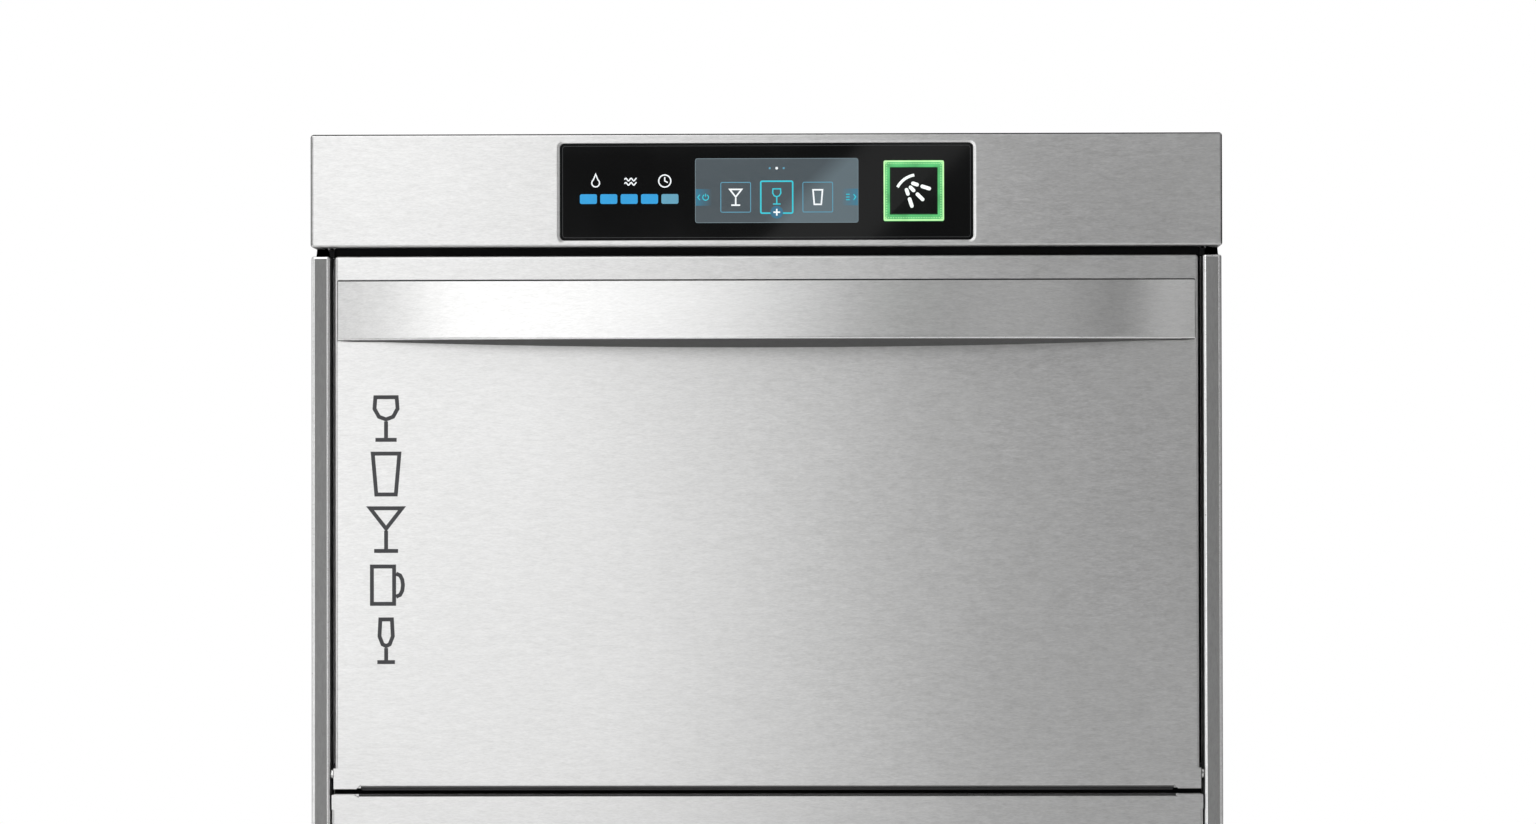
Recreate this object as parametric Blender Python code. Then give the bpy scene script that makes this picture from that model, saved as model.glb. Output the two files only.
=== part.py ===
"""Under-counter glass washer with a drop-down door, as separate sheet-metal and machine parts.

Units are metres and +Z is up. The origin is on the floor, under the middle of the whole machine,
and the front faces -Y. Each sub-part is one closed solid with its own material.
"""
import math

import bmesh
import bpy
from mathutils import Matrix, Vector

# ---- driving dimensions -------------------------------------------------------------------
WIDTH = 0.600
HEIGHT = 0.725
HANDLE_BOW = 0.034          # how far the handle's lower edge stands out in front of the door
FRONT = -0.2845             # plane of the fascia, the door and the lower panel
REAR = 0.3185               # plane of the rear panel
SHEET = 0.0015              # thickness of all folded sheet
GAP = 0.0003                # clearance between pieces that touch
CLEAR = 0.01                # how far a cutter reaches past what it cuts

COVER_BOTTOM = 0.6504
COVER_LIP = 0.0078
POST_INNER = 0.2870         # half the distance between the two front posts
SIDE_OUTER = 0.2994
SIDE_BOTTOM = 0.040
SIDE_TOP = 0.6446
POST_DEPTH = 0.022
REAR_FLANGE = 0.020
RAIL_X = 0.2895             # half the distance between the rails that carry the cover
RAIL_FRONT = -0.2600
RAIL_REAR = 0.3000

DOOR_HALF_WIDTH = 0.2840
DOOR_BOTTOM = 0.2947
DOOR_TOP = 0.6446
DOOR_RETURN = 0.020         # depth of the outer skin's folded edges
HINGE_Y = FRONT + 0.009
HINGE_Z = DOOR_BOTTOM + 0.009
PIN_RADIUS = 0.0040
BUSH_OUTER = 0.0060
SPRING_INNER = 0.0046
SPRING_OUTER = 0.0066
SPRING_NEAR = 0.2280        # where the springs start and end, from the machine's middle
SPRING_FAR = 0.2785

HANDLE_HALF_WIDTH = 0.2817
HANDLE_TOP = 0.6281
HANDLE_BOTTOM = 0.5896
HANDLE_SHEET = 0.0012

FRAME_FRONT = -0.2480       # front face of the frame round the chamber's mouth
OPENING_HALF_WIDTH = 0.2550
OPENING_BOTTOM = 0.3190
OPENING_TOP = 0.6280

CHAMBER_HALF_WIDTH = 0.2600
CHAMBER_FRONT = FRAME_FRONT + SHEET + GAP
CHAMBER_REAR = 0.2750
CHAMBER_TOP = 0.6850
TANK_TOP = 0.3085
TANK_BOTTOM = 0.1650
RAIL_TOP = 0.3270
STRAINER_Z = 0.2600
ARM_CENTRE = (0.0, 0.0145)
ARM_RADIUS = 0.235
SPINDLE_RADIUS = 0.0090
ARM_BORE = 0.0095
FILTER_CENTRE = (0.198, -0.190)
FILTER_RADIUS = 0.035

GLASS_LEFT = -0.1352
GLASS_RIGHT = 0.1360
GLASS_BOTTOM = 0.6551
GLASS_TOP = 0.7183
BUTTON_CENTRE = (0.09735, 0.68705)
RING_HALF = 0.01985
BUTTON_HALF = 0.01575

FOOT_X = 0.262
FOOT_FRONT_Y = -0.235
FOOT_REAR_Y = 0.250
TRAY_BOTTOM = 0.035
NICHE_Y = 0.2850            # front of the service niche at the rear
NICHE_TOP = 0.1300

PUMP_Y = -0.060
PUMP_Z = 0.105
PUMP_RADIUS = 0.0520
PUMP_OUTLET_Z = PUMP_Z + PUMP_RADIUS - 0.0105
RISER_RADIUS = 0.0105
SUCTION_HOLE = (0.140, PUMP_Y)
BOILER_X = -0.225
HEATER_RADIUS = 0.0042      # of the heating elements' tubes
HOSE_RADIUS = 0.0120        # of the drain hose and its outlet
HOSE_BORE = 0.0100
DRAIN_X = 0.215
DRAIN_Z = 0.090
INLET_X = -0.110
INLET_Z = 0.095
GLAND_X = 0.020
GLAND_Z = 0.090

FINE = 24                   # sides of the larger turned pieces
COARSE = 16                 # sides of the smaller ones

MATERIALS = {               # colour, metallic, roughness
    "steel": ((0.62, 0.62, 0.61), 1.0, 0.32),
    "bright_steel": ((0.75, 0.75, 0.74), 1.0, 0.18),
    "black_glass": ((0.006, 0.007, 0.009), 0.0, 0.06),
    "display": ((0.09, 0.12, 0.14), 0.0, 0.20),
    "button": ((0.012, 0.016, 0.014), 0.0, 0.25),
    "green_light": ((0.10, 0.62, 0.24), 0.0, 0.35),
    "black_plastic": ((0.02, 0.02, 0.022), 0.0, 0.50),
    "grey_plastic": ((0.30, 0.31, 0.32), 0.0, 0.50),
    "blue_plastic": ((0.02, 0.10, 0.32), 0.0, 0.45),
    "rubber": ((0.02, 0.02, 0.02), 0.0, 0.80),
    "motor_paint": ((0.10, 0.11, 0.12), 0.6, 0.50),
}


# ---- tools ----------------------------------------------------------------------------------
def clear_scene():
    for obj in list(bpy.data.objects):
        bpy.data.objects.remove(obj, do_unlink=True)


def make_materials():
    for name, (colour, metallic, roughness) in MATERIALS.items():
        material = bpy.data.materials.new(name)
        material.use_nodes = True
        shader = material.node_tree.nodes["Principled BSDF"]
        shader.inputs["Base Color"].default_value = (*colour, 1.0)
        shader.inputs["Metallic"].default_value = metallic
        shader.inputs["Roughness"].default_value = roughness


def finish(bm, name, material):
    """Turn a bmesh into an object whose faces point out. Without a material it is a guide."""
    bmesh.ops.recalc_face_normals(bm, faces=bm.faces)
    mesh = bpy.data.meshes.new(name)
    bm.to_mesh(mesh)
    bm.free()
    obj = bpy.data.objects.new(name, mesh)
    bpy.context.collection.objects.link(obj)
    if material:
        mesh.materials.append(bpy.data.materials[material])
        mesh.shade_smooth()
        mesh.set_sharp_from_angle(angle=math.radians(35))
    else:
        obj.hide_render = True
        obj.display_type = "WIRE"
    return obj


def block(low, high, name="guide", material=None):
    bm = bmesh.new()
    bmesh.ops.create_cube(bm, size=1.0)
    low, high = Vector(low), Vector(high)
    size = high - low
    bmesh.ops.transform(
        bm, matrix=Matrix.Translation((low + high) / 2) @ Matrix.Diagonal((*size, 1.0)), verts=bm.verts
    )
    return finish(bm, name, material)


def on_axis(axis, across, along):
    """A point from its two coordinates across an axis and its place along it."""
    a, b = across
    return {"x": (along, a, b), "y": (a, along, b), "z": (a, b, along)}[axis]


def prism(outline, axis, start, end, name="guide", material=None):
    """A closed outline, drawn across an axis, extruded along it."""
    bm = bmesh.new()
    ring = [bm.verts.new(on_axis(axis, point, start)) for point in outline]
    face = bm.faces.new(ring)
    moved = bmesh.ops.extrude_face_region(bm, geom=[face])
    verts = [item for item in moved["geom"] if isinstance(item, bmesh.types.BMVert)]
    bmesh.ops.translate(bm, vec=on_axis(axis, (0.0, 0.0), end - start), verts=verts)
    return finish(bm, name, material)


def folded(path, axis, start, end, name="guide", material=None, thickness=SHEET):
    """A folded sheet: the path is its outer side, and the thickness lies on the path's left."""
    points = [Vector(point) for point in path]
    inner = []
    for index, point in enumerate(points):
        sides = []
        for first, last in ((index - 1, index), (index, index + 1)):
            if 0 <= first and last < len(points):
                run = (points[last] - points[first]).normalized()
                sides.append(Vector((-run.y, run.x)))
        middle = sum(sides, Vector((0.0, 0.0))).normalized()
        inner.append(point + middle * (thickness / middle.dot(sides[0])))
    return prism([*points, *reversed(inner)], axis, start, end, name, material)


def turned(profile, axis, centre, name="guide", material=None, steps=FINE, closed=False):
    """A profile of (radius, place along the axis) spun round the axis through centre.

    An open profile starts and ends on the axis, with flat ends. A closed one makes a ring.
    """
    bm = bmesh.new()
    points = [on_axis(axis, (centre[0] + radius, centre[1]), along) for radius, along in profile]
    verts = [bm.verts.new(point) for point in points]
    pairs = list(zip(verts, verts[1:]))
    if closed:
        pairs.append((verts[-1], verts[0]))
    edges = [bm.edges.new(pair) for pair in pairs]
    bmesh.ops.spin(
        bm, geom=verts + edges, cent=on_axis(axis, centre, 0.0), axis=on_axis(axis, (0.0, 0.0), 1.0),
        angle=2 * math.pi, steps=steps, use_merge=True,
    )
    bmesh.ops.remove_doubles(bm, verts=bm.verts, dist=1e-6)
    poles = [vert for vert in bm.verts if len(vert.link_faces) == steps]
    bmesh.ops.dissolve_verts(bm, verts=poles)
    return finish(bm, name, material)


def rod(axis, centre, radius, start, end, name="guide", material=None, steps=FINE):
    profile = [(0.0, start), (radius, start), (radius, end), (0.0, end)]
    return turned(profile, axis, centre, name, material, steps)


def ring(axis, centre, inner, outer, start, end, name="guide", material=None, steps=FINE):
    profile = [(inner, start), (outer, start), (outer, end), (inner, end)]
    return turned(profile, axis, centre, name, material, steps, closed=True)


def bent(points, radius, steps=3):
    """A route whose inner corners are replaced by arcs of the given radius."""
    route = [Vector(points[0])]
    for before, corner, after in zip(points, points[1:], points[2:]):
        corner = Vector(corner)
        back = (Vector(before) - corner).normalized()
        ahead = (Vector(after) - corner).normalized()
        half = back.angle(ahead) / 2
        reach = radius / math.tan(half)
        centre = corner + (back + ahead).normalized() * (radius / math.sin(half))
        start = corner + back * reach - centre
        end = corner + ahead * reach - centre
        sweep = start.angle(end)
        for step in range(steps + 1):
            share = step / steps
            turn = (start * math.sin((1 - share) * sweep) + end * math.sin(share * sweep)) / math.sin(sweep)
            route.append(centre + turn)
    route.append(Vector(points[-1]))
    return route


def pipe(points, radius, bore=0.0, name="guide", material=None, sides=12):
    """A round section swept along a route. With a bore it is hollow and open at both ends."""
    bm = bmesh.new()
    points = [Vector(point) for point in points]
    across = (points[1] - points[0]).orthogonal().normalized()
    loops = []
    for index, point in enumerate(points):
        back = points[max(index - 1, 0)]
        ahead = points[min(index + 1, len(points) - 1)]
        run = (ahead - back).normalized()
        across = (across - run * across.dot(run)).normalized()
        other = run.cross(across)
        rings = []
        for size in (radius, bore) if bore else (radius,):
            angles = [2 * math.pi * side / sides for side in range(sides)]
            rings.append([
                bm.verts.new(point + (across * math.cos(a) + other * math.sin(a)) * size) for a in angles
            ])
        loops.append(rings)
    for here, there in zip(loops, loops[1:]):
        for low, high in zip(here, there):
            for side in range(sides):
                after = (side + 1) % sides
                bm.faces.new((low[side], low[after], high[after], high[side]))
    for rings in (loops[0], loops[-1]):
        if bore:
            for side in range(sides):
                after = (side + 1) % sides
                bm.faces.new((rings[0][side], rings[0][after], rings[1][after], rings[1][side]))
        else:
            bm.faces.new(rings[0])
    return finish(bm, name, material)


def boolean(obj, operation, others):
    for other in others:
        modifier = obj.modifiers.new(operation.lower(), "BOOLEAN")
        modifier.operation = operation
        modifier.object = other
    return obj


def cut(obj, *cutters):
    return boolean(obj, "DIFFERENCE", cutters)


def fuse(obj, *guides):
    return boolean(obj, "UNION", guides)


def joint(name, place, *pieces):
    """An empty on a joint's axis, with the pieces that move about it as its children."""
    empty = bpy.data.objects.new(name, None)
    empty.empty_display_size = 0.03
    empty.location = place
    bpy.context.collection.objects.link(empty)
    for piece in pieces:
        piece.parent = empty
        piece.matrix_parent_inverse = Matrix.Translation(place).inverted()
    return empty


# ---- casing -----------------------------------------------------------------------------------
def make_top_cover():
    half = WIDTH / 2
    cover = block((-half, FRONT, COVER_BOTTOM), (half, REAR, HEIGHT), "top_cover", "steel")
    hollow = block(
        (-half + SHEET, FRONT + SHEET, COVER_BOTTOM + SHEET), (half - SHEET, REAR - SHEET, HEIGHT - SHEET)
    )
    mouth = block(
        (-half + COVER_LIP, FRONT + COVER_LIP, COVER_BOTTOM - CLEAR),
        (half - COVER_LIP, REAR - COVER_LIP, HEIGHT - 0.02),
    )
    edge = 0.0006
    window = block(
        (GLASS_LEFT - edge, FRONT - CLEAR, GLASS_BOTTOM - edge),
        (GLASS_RIGHT + edge, FRONT + CLEAR, GLASS_TOP + edge),
    )
    cut(cover, hollow, mouth, window)


def make_side_panel(name, side):
    """Post, side and rear flange folded from one sheet, with a stepped rail that carries the cover."""
    outer = side * SIDE_OUTER
    post = side * POST_INNER
    rear = REAR - SHEET - GAP
    flange = outer - side * REAR_FLANGE
    path = [(post, FRONT + POST_DEPTH), (post, FRONT), (outer, FRONT), (outer, rear), (flange, rear)]
    if side < 0:
        path.reverse()
    panel = folded(path, "z", SIDE_BOTTOM, SIDE_TOP, name, "steel")
    step = 0.0006
    rail_x = side * RAIL_X
    rail_top = HEIGHT - SHEET - GAP
    rail_path = [(outer - side * step, SIDE_TOP - step), (rail_x, SIDE_TOP - step), (rail_x, rail_top)]
    if side > 0:
        rail_path.reverse()
    rail = folded(rail_path, "y", RAIL_FRONT, RAIL_REAR)
    fuse(panel, rail)
    hole = rod("x", (HINGE_Y, HINGE_Z), PIN_RADIUS + GAP, post - 0.005, post + 0.005, steps=COARSE)
    cut(panel, hole)


def make_rear_panel():
    half = SIDE_OUTER - 0.0006
    panel = block((-half, REAR - SHEET, NICHE_TOP), (half, REAR, SIDE_TOP), "rear_panel", "steel")
    slot_rows, first_slot, pitch, slot_half_width, slot_height = 6, 0.180, 0.012, 0.10, 0.004
    slots = []
    for row in range(slot_rows):
        low = first_slot + pitch * row
        slots.append(
            block((-slot_half_width, REAR - CLEAR, low), (slot_half_width, REAR + CLEAR, low + slot_height))
        )
    cut(panel, *slots)


def make_connection_panel():
    """The panel inside the rear niche that the water, drain and mains connections go through."""
    bottom, top, rear = TRAY_BOTTOM + 0.003, NICHE_TOP - GAP, REAR - SHEET - 0.003
    path = [(NICHE_Y, bottom), (NICHE_Y, top), (rear, top)]
    half = SIDE_OUTER - REAR_FLANGE - 0.001
    panel = folded(path, "x", -half, half, "connection_panel", "steel")
    openings = (((INLET_X, INLET_Z), 0.0145), ((GLAND_X, GLAND_Z), 0.0085), ((DRAIN_X, DRAIN_Z), 0.0125))
    for at, radius in openings:
        cut(panel, rod("y", at, radius, NICHE_Y - CLEAR, NICHE_Y + CLEAR, steps=COARSE))


def make_lower_front_panel():
    """The service panel below the door. Its top edge is a short hem that the door's corner clears."""
    half = POST_INNER - 0.0007
    top = DOOR_BOTTOM - 0.0039
    hem = 0.0030
    bottom = 0.045
    foot = 0.020
    path = [(FRONT + hem, top), (FRONT, top), (FRONT, bottom), (FRONT + foot, bottom)]
    folded(path, "x", -half, half, "lower_front_panel", "steel")


def make_base_tray():
    half = SIDE_OUTER - 0.0024
    low = (-half, FRONT + POST_DEPTH + 0.0015, TRAY_BOTTOM)
    high = (half, NICHE_Y - 0.002, TRAY_BOTTOM + 0.025)
    tray = block(low, high, "base_tray", "steel")
    hollow = block([a + SHEET for a in low], (high[0] - SHEET, high[1] - SHEET, high[2] + CLEAR))
    holes = [
        rod("z", (x, y), 0.0066, TRAY_BOTTOM - CLEAR, TRAY_BOTTOM + CLEAR, steps=COARSE)
        for x in (-FOOT_X, FOOT_X) for y in (FOOT_FRONT_Y, FOOT_REAR_Y)
    ]
    vents = [
        block((x, -0.020, TRAY_BOTTOM - CLEAR), (x + 0.006, 0.060, TRAY_BOTTOM + CLEAR))
        for x in (0.060, 0.080, 0.100)
    ]
    cut(tray, hollow, *holes, *vents)


def make_foot(name, x, y):
    profile = [
        (0.0, 0.0), (0.018, 0.0), (0.020, 0.002), (0.020, 0.010), (0.017, 0.013), (0.010, 0.015),
        (0.010, 0.024), (0.0060, 0.024), (0.0060, 0.075), (0.0, 0.075),
    ]
    foot = turned(profile, "z", (x, y), name, "bright_steel", COARSE)
    joint(name + "_thread", (x, y, 0.0), foot)


# ---- controls -----------------------------------------------------------------------------------
def make_control_housing():
    rim = 0.0048
    wall = 0.0070
    low = (GLASS_LEFT - rim, FRONT + 0.0048, COVER_BOTTOM + 0.0021)
    high = (GLASS_RIGHT + rim, FRONT + 0.0305, HEIGHT - 0.0035)
    housing = block(low, high, "control_housing", "black_plastic")
    hollow = block(
        (low[0] + wall, low[1] - CLEAR, low[2] + 0.0045), (high[0] - wall, high[1] - 0.002, high[2] - 0.0052)
    )
    plug = block((0.0, high[1] - CLEAR, 0.680), (0.030, high[1] + CLEAR, 0.692))
    cut(housing, hollow, plug)


def make_control_glass():
    x, z = BUTTON_CENTRE
    hole_half = RING_HALF + GAP
    glass = block(
        (GLASS_LEFT, FRONT + 0.0005, GLASS_BOTTOM), (GLASS_RIGHT, FRONT + 0.0045, GLASS_TOP), "control_glass",
        "black_glass",
    )
    hole = block(
        (x - hole_half, FRONT - CLEAR, z - hole_half), (x + hole_half, FRONT + CLEAR, z + hole_half)
    )
    cut(glass, hole)


def make_display():
    block((-0.0465, FRONT + 0.0048, 0.6661), (0.0609, FRONT + 0.0095, 0.7086), "display_module", "display")


def make_start_button():
    x, z = BUTTON_CENTRE
    outer, inner, cap = RING_HALF, BUTTON_HALF, BUTTON_HALF - GAP
    front = FRONT + 0.0005
    low, high = (x - outer, front, z - outer), (x + outer, front + 0.0060, z + outer)
    light = block(low, high, "start_light_ring", "green_light")
    cut(light, block((x - inner, front - CLEAR, z - inner), (x + inner, front + CLEAR, z + inner)))
    button = block((x - cap, front, z - cap), (x + cap, front + 0.0070, z + cap), "start_button", "button")
    stem = rod("y", BUTTON_CENTRE, 0.0050, front + 0.0060, front + 0.0160, steps=COARSE)
    fuse(button, stem)
    joint("start_button_travel", (x, front, z), button)


# ---- door -----------------------------------------------------------------------------------------
def make_door_outer_skin():
    """A shallow pan, open to the rear, with a recess that the handle strip lies in."""
    half, depth = DOOR_HALF_WIDTH, DOOR_RETURN
    recess = 0.0016
    step = SHEET + 0.001            # the recess's back is wider than the recess by its own thickness
    low_z, high_z = HANDLE_BOTTOM - 0.0010, HANDLE_TOP + 0.0005
    recess_half = HANDLE_HALF_WIDTH + GAP
    skin = block((-half, FRONT, DOOR_BOTTOM), (half, FRONT + depth, DOOR_TOP), "door_outer_skin", "steel")
    inside = half - SHEET
    rear = FRONT + depth + CLEAR
    cut(
        skin,
        block((-recess_half, FRONT - CLEAR, low_z), (recess_half, FRONT + recess, high_z)),
        block((-inside, FRONT + SHEET, DOOR_BOTTOM + SHEET), (inside, rear, low_z - SHEET)),
        block((-inside, FRONT + SHEET + recess, low_z - step), (inside, rear, high_z + step)),
        block((-inside, FRONT + SHEET, high_z + SHEET), (inside, rear, DOOR_TOP - SHEET)),
    )
    for side in (-1, 1):
        near, far = sorted((side * (half + 0.0010), side * (half - 0.0160)))
        tab = block(
            (near, FRONT + 0.0002, DOOR_BOTTOM - 0.0015), (far, FRONT + 0.0014, DOOR_BOTTOM + 0.0130)
        )
        fuse(skin, tab)
    for side in (-1, 1):
        near, far = sorted((side * (half + 0.005), side * (half - 0.005)))
        cut(skin, rod("x", (HINGE_Y, HINGE_Z), BUSH_OUTER + GAP, near, far, steps=COARSE))
    return skin


def make_door_inner_skin():
    """The plate that closes the door's back, pressed out into a pan towards the chamber."""
    plate_front = FRONT + DOOR_RETURN - SHEET
    pan_rear = plate_front + 0.0130
    half = DOOR_HALF_WIDTH - SHEET - 0.0010
    pan_half = OPENING_HALF_WIDTH - 0.0050
    pan_low, pan_high = OPENING_BOTTOM + 0.0050, OPENING_TOP - 0.0050
    low = (-half, plate_front, DOOR_BOTTOM + SHEET + 0.001)
    high = (half, plate_front + SHEET, DOOR_TOP - SHEET - 0.001)
    skin = block(low, high, "door_inner_skin", "steel")
    fuse(skin, block((-pan_half, plate_front + 0.0005, pan_low), (pan_half, pan_rear, pan_high)))
    cut(skin, block(
        (-pan_half + SHEET, plate_front - CLEAR, pan_low + SHEET),
        (pan_half - SHEET, pan_rear - SHEET, pan_high - SHEET),
    ))
    return skin


def make_door_handle():
    """A strip whose top edge is straight and whose lower edge bows forwards, leaving room for fingers."""
    bm = bmesh.new()
    stations = 24
    sections = []
    for station in range(stations + 1):
        share = 2 * station / stations - 1
        x = share * HANDLE_HALF_WIDTH
        low = FRONT - HANDLE_BOW * (1 - share * share)
        section = [
            (x, FRONT, HANDLE_TOP), (x, low, HANDLE_BOTTOM), (x, low + HANDLE_SHEET, HANDLE_BOTTOM),
            (x, FRONT + HANDLE_SHEET, HANDLE_TOP),
        ]
        sections.append([bm.verts.new(point) for point in section])
    for here, there in zip(sections, sections[1:]):
        for index in range(4):
            after = (index + 1) % 4
            near, far = (index, after) if index < 2 else (after, index)     # front and back split alike
            bm.faces.new((here[near], here[far], there[far]))
            bm.faces.new((here[near], there[far], there[near]))
    bm.faces.new(sections[0])
    bm.faces.new(sections[-1])
    return finish(bm, "door_handle", "steel")


def make_door_seal():
    front = FRONT + DOOR_RETURN + GAP
    rear = FRAME_FRONT - GAP
    outer_x, inner_x = OPENING_HALF_WIDTH + 0.0170, OPENING_HALF_WIDTH + 0.0030
    seal = block((-outer_x, front, 0.3060), (outer_x, rear, 0.6400), "door_seal", "rubber")
    low, high = OPENING_BOTTOM - 0.003, OPENING_TOP + 0.002
    hole = block((-inner_x, front - CLEAR, low), (inner_x, rear + CLEAR, high))
    return cut(seal, hole)


def make_hinge(side):
    """One pin, fixed in the post, with the door's bush and the torsion spring round it."""
    word = "left" if side < 0 else "right"
    at = (HINGE_Y, HINGE_Z)
    head = POST_INNER + SHEET + GAP
    profile = [
        (0.0, side * (head + 0.006)), (0.0065, side * (head + 0.006)), (0.0065, side * head),
        (PIN_RADIUS, side * head), (PIN_RADIUS, side * 0.227), (0.0, side * 0.227),
    ]
    turned(profile, "x", at, "hinge_pin_" + word, "bright_steel", COARSE)
    face = DOOR_HALF_WIDTH + GAP
    bore = PIN_RADIUS + GAP
    profile = [
        (bore, side * (face + 0.0012)), (0.0070, side * (face + 0.0012)), (0.0070, side * face),
        (BUSH_OUTER, side * face), (BUSH_OUTER, side * 0.2790), (bore, side * 0.2790),
    ]
    bush = turned(profile, "x", at, "hinge_bush_" + word, "black_plastic", COARSE, closed=True)
    spring = ring(
        "x", at, SPRING_INNER, SPRING_OUTER, side * SPRING_NEAR, side * SPRING_FAR, "door_spring_" + word,
        "bright_steel", COARSE,
    )
    return bush, spring


def make_door():
    pieces = [make_door_outer_skin(), make_door_inner_skin(), make_door_handle(), make_door_seal()]
    for side in (-1, 1):
        pieces.extend(make_hinge(side))
    joint("door_hinge", (0.0, HINGE_Y, HINGE_Z), *pieces)


# ---- wash chamber and tank --------------------------------------------------------------------------
def make_chamber_front_frame():
    half = SIDE_OUTER - SHEET - 0.0019
    low, high = (-half, FRAME_FRONT, 0.250), (half, FRAME_FRONT + SHEET, 0.700)
    frame = block(low, high, "chamber_front_frame", "steel")
    for side in (-1, 1):
        near, far = sorted((side * 0.2880, side * 0.3000))
        cut(frame, block((near, FRAME_FRONT - CLEAR, SIDE_TOP - 0.006), (far, FRAME_FRONT + CLEAR, 0.71)))
    mouth = block(
        (-OPENING_HALF_WIDTH, FRAME_FRONT - CLEAR, OPENING_BOTTOM),
        (OPENING_HALF_WIDTH, FRAME_FRONT + CLEAR, OPENING_TOP),
    )
    cut(frame, mouth)


def make_chamber_shell():
    half = CHAMBER_HALF_WIDTH
    low = TANK_TOP + 0.0005
    path = [(-half, low), (-half, CHAMBER_TOP), (half, CHAMBER_TOP), (half, low)]
    shell = folded(path, "y", CHAMBER_FRONT, CHAMBER_REAR, "chamber_shell", "steel")
    cut(shell, rod("z", ARM_CENTRE, 0.0124, CHAMBER_TOP - CLEAR, CHAMBER_TOP + CLEAR, steps=COARSE))


def make_chamber_rear_wall():
    half = CHAMBER_HALF_WIDTH + SHEET
    low = (-half, CHAMBER_REAR + GAP, TANK_TOP + 0.0005)
    high = (half, CHAMBER_REAR + GAP + SHEET, CHAMBER_TOP + SHEET)
    block(low, high, "chamber_rear_wall", "steel")


def make_wash_tank():
    half = CHAMBER_HALF_WIDTH + SHEET
    tank = block((-half, CHAMBER_FRONT, TANK_BOTTOM), (half, CHAMBER_REAR, TANK_TOP), "wash_tank", "steel")
    hollow = block(
        (-half + SHEET, CHAMBER_FRONT + SHEET, TANK_BOTTOM + SHEET),
        (half - SHEET, CHAMBER_REAR - SHEET, TANK_TOP + CLEAR),
    )
    cut(tank, hollow)
    for at, radius in ((ARM_CENTRE, 0.0080), (SUCTION_HOLE, 0.0120), (FILTER_CENTRE, 0.0100)):
        cut(tank, rod("z", at, radius, TANK_BOTTOM - CLEAR, TANK_BOTTOM + CLEAR, steps=COARSE))


def make_rack_rail(name, side):
    """An angle along the chamber's side that the rack's edge slides on."""
    wall = side * (CHAMBER_HALF_WIDTH - GAP)
    path = [(side * 0.2385, RAIL_TOP - SHEET), (wall, RAIL_TOP - SHEET), (wall, RAIL_TOP + 0.035)]
    if side < 0:
        path.reverse()
    folded(path, "y", -0.2350, 0.2650, name, "steel")


def make_strainer(name, side):
    """Half of the strainer deck over the tank, with its edge turned up."""
    near, far = sorted((side * 0.0005, side * (CHAMBER_HALF_WIDTH - 0.001)))
    front, rear = CHAMBER_FRONT + 0.003, CHAMBER_REAR - 0.003
    deck = block((near, front, STRAINER_Z), (far, rear, STRAINER_Z + 0.008), name, "steel")
    low, high = (near + SHEET, front + SHEET, STRAINER_Z + SHEET), (far - SHEET, rear - SHEET, STRAINER_Z + 0.02)
    cut(
        deck,
        block(low, high),
        rod("z", ARM_CENTRE, 0.0200, STRAINER_Z - CLEAR, STRAINER_Z + 0.02, steps=COARSE),
    )
    if side > 0:
        cut(deck, rod("z", FILTER_CENTRE, FILTER_RADIUS + 0.001, STRAINER_Z - CLEAR, STRAINER_Z + 0.02))


def make_filter_cylinder():
    """The basket that lifts out of the tank: a flanged cup with a hoop to lift it by."""
    floor = TANK_BOTTOM + SHEET + GAP
    wall = 0.0015
    inner = FILTER_RADIUS - wall
    top = STRAINER_Z + 0.010
    profile = [
        (0.0, floor), (FILTER_RADIUS, floor), (FILTER_RADIUS, top), (inner, top), (inner, floor + wall),
        (0.0, floor + wall),
    ]
    cup = turned(profile, "z", FILTER_CENTRE, "filter_cylinder", "steel")
    x, y = FILTER_CENTRE
    reach = FILTER_RADIUS - 0.0025
    hoop = pipe(
        bent([(x - reach, y, top - 0.012), (x - reach, y, top + 0.020), (x + reach, y, top + 0.020),
              (x + reach, y, top - 0.012)], 0.012),
        0.0020, sides=8,
    )
    fuse(cup, hoop)
    window_half_width, window_low, window_high = 0.004, 0.180, 0.230
    for offset in (-0.016, 0.0, 0.016):
        low = (x + offset - window_half_width, y - FILTER_RADIUS - CLEAR, window_low)
        high = (x + offset + window_half_width, y + FILTER_RADIUS + CLEAR, window_high)
        cut(cup, block(low, high))
    joint("filter_lift", (x, y, floor), cup)


def make_tank_heater():
    z, flange_half_height = 0.195, 0.016
    left, right, front = -0.145, -0.075, -0.120
    rim = 0.015
    rear = CHAMBER_REAR - SHEET - GAP
    face = rear - 0.004
    low, high = (left - rim, face, z - flange_half_height), (right + rim, rear, z + flange_half_height)
    flange = block(low, high, "tank_heater", "bright_steel")
    end = rear - 0.002
    route = bent([(left, end, z), (left, front, z), (right, front, z), (right, end, z)], 0.020)
    fuse(flange, pipe(route, HEATER_RADIUS, sides=10))


def make_spindle(name, foot, seat, tip):
    """A spindle that carries one wash arm and one rinse arm, from its foot's profile to its tip."""
    radius = foot[-1][0]
    profile = [*foot, (radius, seat), (SPINDLE_RADIUS, seat), (SPINDLE_RADIUS, tip), (0.0, tip)]
    turned(profile, "z", ARM_CENTRE, name, "bright_steel", FINE)


def make_spindles():
    """The lower one stands on a flange in the tank. The upper one hangs through the chamber's top."""
    floor = TANK_BOTTOM + SHEET + GAP
    flange = [(0.0, floor), (0.0260, floor), (0.0260, floor + 0.003), (0.0130, floor + 0.006)]
    make_spindle("lower_spindle", flange, floor + 0.1145, floor + 0.1535)
    top = CHAMBER_TOP + 0.0080
    make_spindle("upper_spindle", [(0.0, top), (0.0120, top)], CHAMBER_TOP - 0.0160, CHAMBER_TOP - 0.0570)


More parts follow.
